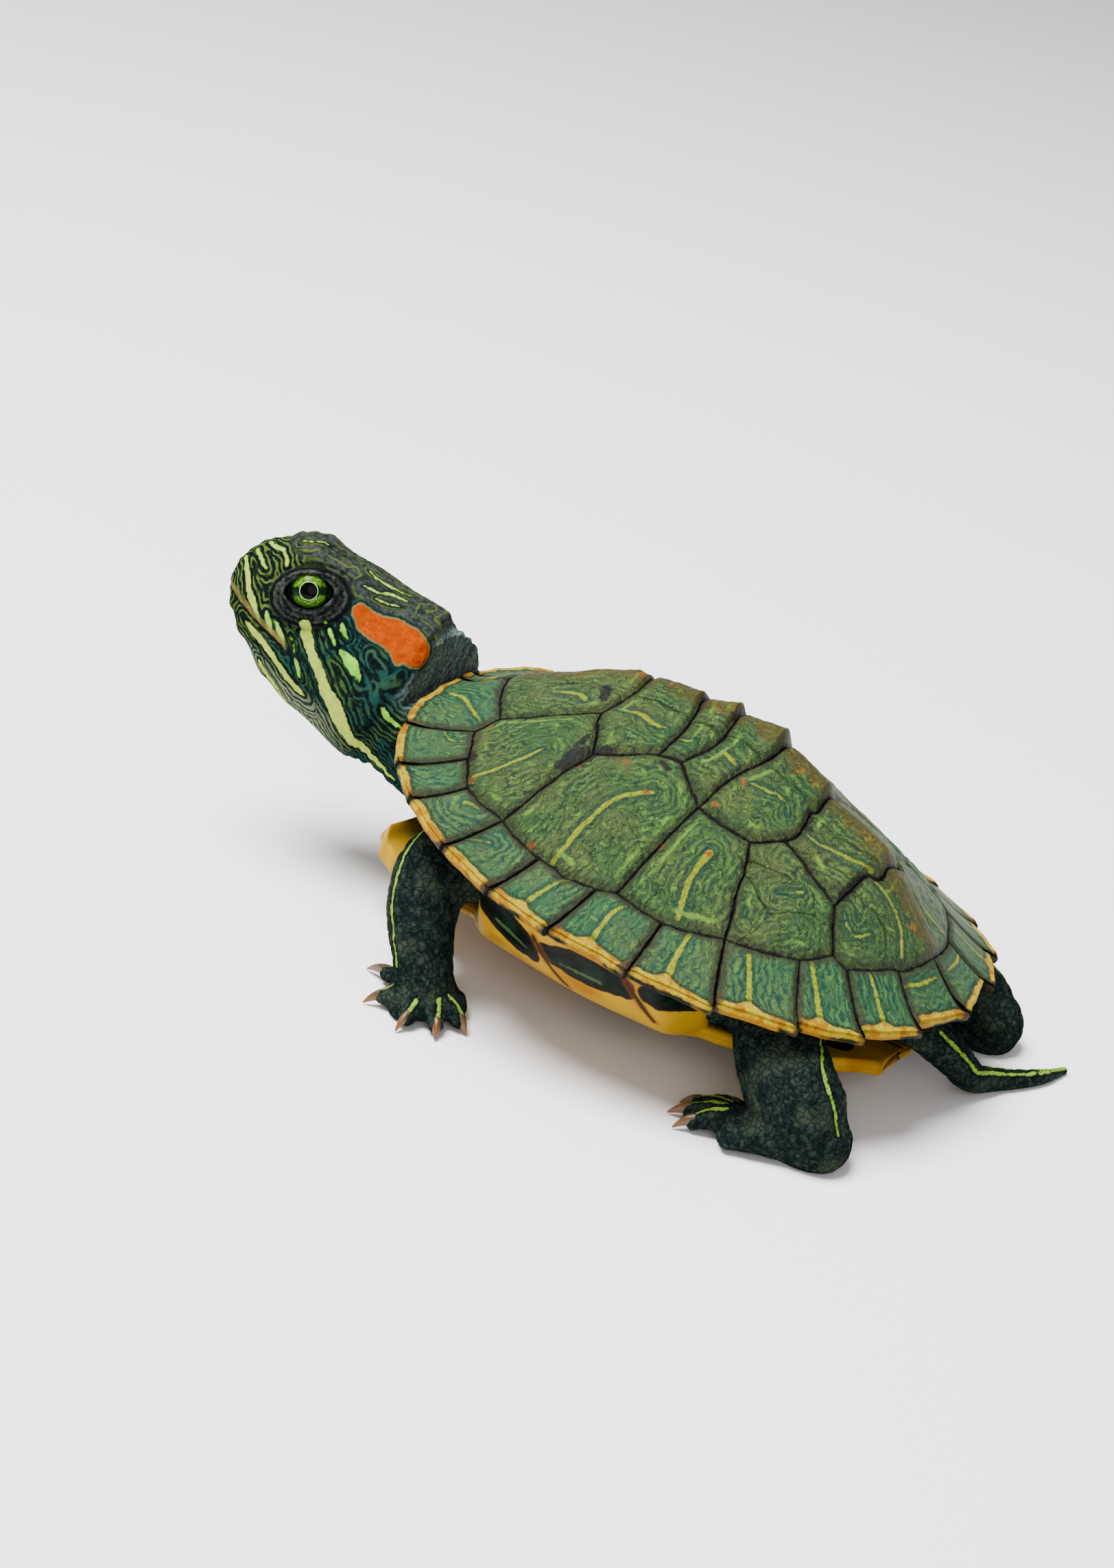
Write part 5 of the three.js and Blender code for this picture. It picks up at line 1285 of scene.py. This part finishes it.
def surface_of(field, low, high, voxel, coarse=4):
    """Quads on the zero surface of a field inside a box, with the field worked out only near it."""
    low, high = np.array(low, float), np.array(high, float)
    blocks = np.ceil((high - low) / (voxel * coarse)).astype(int)
    corner = [low[a] + np.arange(blocks[a] + 1) * voxel * coarse for a in range(3)]
    grid = np.stack(np.meshgrid(*corner, indexing="ij"), -1).reshape(-1, 3)
    rough = field(grid).reshape(blocks + 1)
    cell = np.stack([rough[i:blocks[0] + i, j:blocks[1] + j, k:blocks[2] + k]
                     for i in (0, 1) for j in (0, 1) for k in (0, 1)])
    span = voxel * coarse * 1.2
    active = np.argwhere((cell.min(0) < span) & (cell.max(0) > -span))
    shape = blocks * coarse + 1
    values = np.repeat(np.repeat(np.repeat(np.sign(rough) * FAR, coarse, 0), coarse, 1), coarse, 2)
    values = values[:shape[0], :shape[1], :shape[2]].astype(np.float32)
    step = np.stack(np.meshgrid(*[np.arange(coarse + 1)] * 3, indexing="ij"), -1).reshape(-1, 3)
    for start in range(0, len(active), 4000):
        index = (active[start:start + 4000, None] * coarse + step[None]).reshape(-1, 3)
        values[tuple(index.T)] = field(low + index * voxel)
    volume = openvdb.FloatGrid(FAR)
    volume.copyFromArray(values)
    points, quads = volume.convertToQuads(0.0)
    return low + points.astype(float) * voxel, quads.astype(np.int64)


# ---------------------------------------------------------------- markings of the skin
# Light strokes of the head and neck: (tone, points as (t, v, w, half width)). Tone 0 is cream and 1 is green.
HEAD_STROKES = [
    (0.0, [(6.4, 4.2, 0.3, 0.42), (7.4, 4.25, -0.65, 0.33), (8.4, 4.4, -1.3, 0.35), (9.4, 4.4, -1.9, 0.38),
           (10.2, 4.4, -2.5, 0.45), (11.3, 4.5, -2.9, 0.62), (12.5, 4.2, -3.6, 0.66), (13.5, 4.0, -4.1, 0.5),
           (15.5, 3.6, -4.6, 0.35), (17.5, 3.2, -4.9, 0.25)]),
    (0.2, [(0.0, 1.3, 1.0, 0.12), (0.7, 2.1, 0.5, 0.2), (1.3, 2.3, -0.1, 0.22), (2.0, 2.6, -0.7, 0.22),
           (2.7, 2.8, -1.1, 0.22), (3.6, 3.1, -1.65, 0.15)]),
    (0.4, [(0.4, 1.5, 2.0, 0.1), (1.2, 2.2, 1.7, 0.17), (1.8, 2.6, 1.5, 0.12)]),
    (0.4, [(0.9, 1.1, 2.9, 0.1), (1.3, 1.6, 2.9, 0.16), (2.0, 2.2, 3.2, 0.14)]),
    (0.5, [(4.4, 3.6, -0.8, 0.1), (5.1, 3.7, -1.2, 0.16), (5.8, 3.8, -1.6, 0.14), (6.2, 3.9, -2.0, 0.08)]),
    (0.5, [(3.7, 3.4, -0.8, 0.1), (4.3, 3.4, -1.4, 0.16), (4.9, 3.4, -1.9, 0.08)]),
    (0.0, [(2.4, 2.3, -2.6, 0.2), (3.6, 2.7, -2.7, 0.3), (4.4, 2.9, -2.8, 0.3), (5.2, 3.2, -3.0, 0.25),
           (6.4, 3.4, -3.3, 0.22), (7.3, 3.4, -3.6, 0.22), (8.5, 3.6, -3.8, 0.25), (9.2, 3.6, -3.9, 0.08)]),
    (0.1, [(5.2, 2.3, -4.3, 0.22), (6.3, 2.1, -4.7, 0.28), (7.6, 1.9, -5.3, 0.28), (8.6, 1.5, -5.6, 0.1)]),
    (1.0, [(9.5, 4.5, 0.4, 0.18), (10.4, 4.7, 0.3, 0.4), (11.2, 4.8, 0.0, 0.45), (12.2, 4.9, -0.4, 0.25)]),
    (1.0, [(11.5, 4.8, 1.4, 0.12), (12.1, 4.9, 1.2, 0.2), (12.7, 4.9, 1.1, 0.12)]),
    (1.0, [(7.5, 4.3, 1.3, 0.08), (8.3, 4.4, 0.9, 0.15), (8.9, 4.5, 0.5, 0.08)]),
    (1.0, [(8.2, 4.3, 2.1, 0.08), (8.7, 4.4, 1.7, 0.13), (9.3, 4.4, 1.4, 0.08)]),
    (0.8, [(7.2, 4.0, -2.1, 0.1), (7.9, 4.0, -2.7, 0.16), (8.3, 3.9, -3.0, 0.08)]),
    (0.8, [(6.2, 4.0, -1.1, 0.06), (6.7, 4.0, -1.5, 0.1), (7.0, 4.0, -1.9, 0.06)]),
    (0.8, [(12.9, 5.0, 0.0, 0.15), (13.7, 5.1, -0.7, 0.2), (14.4, 5.2, -1.0, 0.22), (15.2, 5.2, -1.2, 0.2),
           (16.4, 5.3, -1.0, 0.1)]),
    (0.9, [(13.5, 5.1, 0.7, 0.15), (13.7, 5.0, 1.2, 0.2), (13.8, 5.0, 1.7, 0.15)]),
    (0.4, [(7.6, 1.5, 5.5, 0.05), (8.4, 1.9, 5.5, 0.1), (9.6, 1.7, 5.6, 0.1), (10.4, 1.5, 5.7, 0.07),
           (11.3, 0.9, 5.8, 0.03)]),
    (0.4, [(8.0, 2.9, 4.7, 0.05), (9.1, 2.8, 4.9, 0.1), (10.0, 2.3, 5.3, 0.09), (11.0, 2.2, 5.5, 0.03)]),
    (0.4, [(9.2, 3.2, 4.6, 0.05), (10.1, 3.1, 4.8, 0.08), (11.1, 2.8, 5.1, 0.03)]),
    (0.2, [(2.2, 2.5, 3.1, 0.1), (2.6, 2.8, 2.9, 0.15), (2.9, 3.0, 2.6, 0.08)]),
    (0.3, [(2.7, 1.8, 4.4, 0.04), (4.0, 1.7, 5.3, 0.08), (6.0, 1.5, 5.4, 0.05)]),
]
EAR_PATCH = [[(8.9, 3.85, 3.3, 0.5), (9.8, 4.05, 3.1, 0.78), (10.6, 4.15, 3.15, 0.88),
              (11.7, 4.15, 3.45, 1.12), (12.8, 4.2, 3.5, 1.2), (13.5, 4.4, 3.4, 1.12)],
             [(12.9, 4.6, 2.9, 0.9), (13.3, 4.95, 1.75, 0.1)]]
# A darker line across the patch: the painted shade of a fold.
EAR_CREASE_SHADE = [[(13.9, 4.0, 4.2, 0), (13.5, 4.5, 3.4, 0), (13.2, 4.85, 2.4, 0)]]
DIGIT_STROKE, LEG_STROKE_TONE, LEG_STROKE_STRENGTH = 0.15, 0.45, 0.7
# Strokes down the legs and the tail: (tube, way from its axis, share of the length from and to, half width).
LEG_STROKES = [("foreleg", (-1.0, -0.1, 0.1), 0.25, 1.0, 0.34),
               ("foreleg", (-0.5, -1.0, 0.1), 0.3, 0.9, 0.13),
               ("hindleg", (0.9, -0.3, 0.4), 0.3, 1.0, 0.14)]
TAIL_STROKES = [((0, -0.7, 0.7), 0.14), ((0, 0.7, 0.7), 0.14)]


def stroke_on(table, way, start, stop, width):
    """A stroke along the outside of a tube on the side that `way` points to."""
    rows = table[int(start * (len(table) - 1)):int(stop * (len(table) - 1)) + 1:2]
    across, high = rows[:, 6:9], rows[:, 9:12]
    a, b = across @ way, high @ way
    size = np.hypot(a / rows[:, 12], b / rows[:, 13])
    place = rows[:, :3] + across * (a / size)[:, None] + high * (b / size)[:, None]
    return np.column_stack([place, np.full(len(rows), width) * np.linspace(1, 0.7, len(rows))])


def limb_strokes():
    out = []
    for limb in LIMBS:
        mirror = (1, limb.side, 1)
        out += [stroke_on(limb.upper(), np.array(way) * mirror, start, stop, width)
                for kind, way, start, stop, width in LEG_STROKES if limb.name.startswith(kind)]
        out += [stroke_on(limb.finger(number), np.array(LEVEL), 0.0, 1.0, DIGIT_STROKE)
                for number in limb.digits]
    return out + [stroke_on(TAIL, np.array(way), 0.2, 1.0, width) for way, width in TAIL_STROKES]


def head_fields(t, v, w):
    q = np.stack([t, np.abs(v), w], 1)
    stripe, line, _, which = stroke_fields(q, [curve_through(stroke, 3) for _, stroke in HEAD_STROKES])
    patch = stroke_fields(q, EAR_PATCH)[0]
    _, lid, out, _, _ = lid_fields(t, v, w)
    gape = w - along(MOUTH, t)
    # near black along the gape and in the nostrils: painted shade in them
    mouth = on_jaws(t) * smooth(-np.abs(gape), -0.12, -0.05)
    nostril = smooth(-nostril_distance(t, v, w), -0.08, 0.03)
    return {
        "stripe": stripe, "tone": np.array([tone for tone, _ in HEAD_STROKES])[which],
        "patch": patch, "flow": np.minimum(line, patch + 0.6), "crease": stroke_fields(q, EAR_CREASE_SHADE)[0],
        "crown": smooth(w + 0.35 * np.clip(t - 12, 0, 6), 3.2, 4.6),
        # where the nape lies in shade and is painted lighter: painted light
        "nape": smooth(t, 14.1, 15.3) * smooth(w, -0.8, 1.6),
        "throat": smooth(-w, 3.2, 4.6) * smooth(-t, -15, -10),
        "snout": smooth(-t, -6.0, -2.5),
        "lid": np.where(out > 0, smooth(-lid, -1.12, -0.98), 0), "lid_ring": np.minimum(lid * 2.2, FAR),
        "beak": on_jaws(t) * smooth(-np.abs(gape - 0.26), -0.3, -0.18), "mouth": np.maximum(mouth, nostril),
    }


HEAD_BEHIND, HEAD_FADE = -14.0, 1.5          # the head's markings end here in x, over this length
DISTANCES = ("stripe", "patch", "flow", "lid_ring", "crease")
WEIGHTS = ("tone", "crown", "throat", "lid", "beak", "mouth", "snout", "nape")


def skin_fields(p):
    on_head = smooth(HEAD_BEHIND - p[:, 0], 0, HEAD_FADE)
    values = {key: np.full(len(p), FAR) for key in DISTANCES} | {key: np.zeros(len(p)) for key in WEIGHTS}
    values |= {"head": on_head, "strength": np.ones(len(p))}
    near = np.nonzero(on_head > 0)[0]
    for key, value in head_fields(*to_head(p[near])).items():
        values[key][near] = value
    rest = np.nonzero(on_head < 1)[0]
    stripe = stroke_fields(p[rest], limb_strokes())[0]
    closer = stripe < values["stripe"][rest]
    for key, value in (("stripe", stripe), ("tone", LEG_STROKE_TONE), ("strength", LEG_STROKE_STRENGTH)):
        values[key][rest] = np.where(closer, value, values[key][rest])
    return values


def vertex_normals(points, quads):
    normal = np.cross(points[quads[:, 2]] - points[quads[:, 0]], points[quads[:, 3]] - points[quads[:, 1]])
    each_axis = [np.bincount(quads.ravel(), np.repeat(normal[:, a], 4), len(points)) for a in range(3)]
    total = np.stack(each_axis, 1)
    return total / np.maximum(np.linalg.norm(total, axis=1, keepdims=True), 1e-9)


NECK_FOLD = 0.95                  # from one fold of the neck to the next
FOLD_DEPTH, SCALE_DEPTH, UNEVENNESS, WRINKLE_DEPTH = 0.07, 0.06, 0.06, 0.035


def skin_relief(p, values):
    """Scales on the legs and tail, folds across the neck, fine wrinkles elsewhere (mm, outward)."""
    border, _ = cells(p * 1.1, 21)
    scales = (smooth(border, 0.0, 0.35) - 1) * SCALE_DEPTH + value_noise(p * 0.9, 9) * UNEVENNESS
    small, _ = cells(p * 1.6, 31)
    t, v, w = to_head(p)
    fold = t + 0.25 * w + value_noise(p * 0.35, 8) * 1.2
    folds = np.sin(fold * 2 * math.pi / NECK_FOLD) * FOLD_DEPTH * smooth(t, 12.5, 15)
    wrinkles = (smooth(small, 0.0, 0.35) - 1) * WRINKLE_DEPTH
    body = scales * (1 - values["head"]) + (folds + wrinkles * (1 - values["lid"])) * values["head"]
    return body * smooth(p[:, 2] - floor_at(p[:, 0], p[:, 1]), 0.02, 0.4)


VOXEL = 0.16
FLESH_NODES = ["trunk", "head", "jaw", "neck", "tail"]
FLESH_NODES += [f"{limb.name}_{part}" for limb in LIMBS for part in ("upper", "foot")]
SKIN_BOX = (-43, -24, -15.5), (30, 21, 13)


def skin():
    points, quads = surface_of(flesh, *SKIN_BOX, VOXEL)
    faces = outward(points, quads.tolist())
    values = skin_fields(points)
    points = points + vertex_normals(points, np.array(faces)) * skin_relief(points, values)[:, None]
    return make("skin", points, faces, "skin", FLESH_NODES, values)


skin()


# ---------------------------------------------------------------- eyes
IRIS_ANGLE, CORNEA_RISE = math.radians(41), 0.07


def eyeball(side, node):
    """A dense ball round the gaze, with the cornea a little proud of it."""
    rings, count = 90, 120
    angle = np.linspace(0, math.pi, rings + 2)[1:-1]
    turn = np.linspace(0, 2 * math.pi, count, endpoint=False)
    a = (np.sin(angle)[:, None] * np.cos(turn)[None]).ravel()
    b = (np.sin(angle)[:, None] * np.sin(turn)[None]).ravel()
    out = np.repeat(np.cos(angle), count)
    ball = np.vstack([np.stack([a, b, out], 1), [0, 0, 1], [0, 0, -1]])
    off_axis = np.append(np.repeat(angle, count), [0, math.pi])
    cornea = CORNEA_RISE * bump(off_axis, IRIS_ANGLE * 0.8)
    local = ball @ np.stack([BAR, BROWWARD, GAZE]) * (1, side, 1)
    centre = from_head(EYE_PLACE[0], side * EYE_PLACE[1], EYE_PLACE[2])
    axes = np.stack([-head_forward, head_left, head_up])
    points = centre + local @ axes * (EYE_RADIUS + cornea)[:, None]
    scale = off_axis / IRIS_ANGLE
    spread = np.maximum(np.hypot(ball[:, 0], ball[:, 1]), 1e-6)
    values = {"iris": scale, "level": ball[:, 0] / spread * scale, "upright": ball[:, 1] / spread * scale}
    faces = loft_faces(rings, count)
    return make(f"eyeball_{node}", points, outward(points, faces), "eye", [f"eye_{node}"], values)


eyeball(1, "left")
eyeball(-1, "right")


# ---------------------------------------------------------------- claws
CLAW_SPINE = [(0.50, 0.95, 0.50), (0.62, 0.98, 0.50), (0.74, 0.88, 0.40), (0.86, 0.64, 0.27),
              (0.95, 0.36, 0.14), (1.0, 0.17, 0.05)]             # (share of the reach, lift, radius)
CLAW_NARROWNESS = 0.8


def claws(limb):
    """All the claws of one foot as one mesh: curved cones down to the floor."""
    points, faces, tips = [], [], []
    count = 16
    turn = np.linspace(0, 2 * math.pi, count, endpoint=False)
    for number in limb.digits:
        spine = [(*limb.on_digit(number, share, lift), radius, radius) for share, lift, radius in CLAW_SPINE]
        table = frames_along(spine, LEVEL, 30)
        centre, across, high = (table[:, None, first:first + 3] for first in (0, 6, 9))
        radius = table[:, None, 12:13]
        ring = (centre + across * (np.cos(turn)[None, :, None] * radius * CLAW_NARROWNESS)
                + high * (np.sin(turn)[None, :, None] * radius))
        body = np.vstack([ring.reshape(-1, 3), table[:1, :3], table[-1:, :3]])
        base = sum(len(part) for part in points)
        faces += [[i + base for i in face] for face in outward(body, loft_faces(len(table), count))]
        points.append(body)
        tips.append(np.append(np.repeat(np.linspace(0, 1, len(table)), count), [0, 1]))
    return make(f"claws_{limb.name}", np.vstack(points), faces, "claw", (), {"tip": np.concatenate(tips)})


for limb in LIMBS:
    claws(limb)


# ---------------------------------------------------------------- floor, light and camera
CAMERA_PLACE = (70.222, -182.23, 88.615)     # in shell axes
VIEW_BEARING, VIEW_TILT, VIEW_ROLL = (math.radians(angle) for angle in (114.415, -24.008, 21.089))
FOCAL_PIXELS, PHOTO_HEIGHT_PIXELS, SENSOR_HEIGHT = 4316.857, 2286, 36
FLOOR_COLOUR, WORLD_COLOUR, WORLD_STRENGTH = (0.94, 0.93, 0.935, 1), (0.9, 0.9, 0.9, 1), 0.55


def camera():
    """The photograph's camera: the view's bearing and tilt, and its roll about that."""
    flat = math.cos(VIEW_TILT)
    forward = np.array([flat * math.cos(VIEW_BEARING), flat * math.sin(VIEW_BEARING), math.sin(VIEW_TILT)])
    level = unit(np.cross(forward, (0, 0, 1)))
    over = np.cross(level, forward)
    right = level * math.cos(VIEW_ROLL) + over * math.sin(VIEW_ROLL)
    data = bpy.data.cameras.new("camera")
    data.sensor_fit = "VERTICAL"
    data.sensor_height = SENSOR_HEIGHT
    data.lens = FOCAL_PIXELS / PHOTO_HEIGHT_PIXELS * SENSOR_HEIGHT
    data.clip_start, data.clip_end = 0.01, 10
    eye = bpy.data.objects.new("camera", data)
    axes = tilt @ np.column_stack([right, np.cross(right, forward), -forward])
    matrix = Matrix(axes.tolist()).to_4x4()
    matrix.translation = Vector(to_row(CAMERA_PLACE))
    eye.matrix_world = matrix
    bpy.context.scene.collection.objects.link(eye)
    bpy.context.scene.camera = eye


def area_light(name, place, size, power, target=(0, 0, 0.01)):
    data = bpy.data.lights.new(name, "AREA")
    data.shape, data.size, data.energy = "DISK", size, power
    lamp = bpy.data.objects.new(name, data)
    direction = Vector(target) - Vector(place)
    lamp.matrix_world = Matrix.Translation(place) @ direction.to_track_quat("-Z", "Y").to_matrix().to_4x4()
    bpy.context.scene.collection.objects.link(lamp)


def floor():
    mesh = bpy.data.meshes.new("floor")
    mesh.from_pydata([(-1, -1, 0), (1, -1, 0), (1, 1, 0), (-1, 1, 0)], [], [(0, 1, 2, 3)])
    mesh.materials.append(Look("floor").finish(FLOOR_COLOUR, 0.9))
    ground = bpy.data.objects.new("floor", mesh)
    bpy.context.scene.collection.objects.link(ground)


camera()
floor()
area_light("key", (-0.12, -0.12, 0.5), 0.3, 9.5)
area_light("fill", (0.3, -0.4, 0.25), 0.4, 0.9)
world = bpy.data.worlds.new("world")
world.use_nodes = True
background = world.node_tree.nodes["Background"]
background.inputs["Color"].default_value = WORLD_COLOUR
background.inputs["Strength"].default_value = WORLD_STRENGTH
bpy.context.scene.world = world
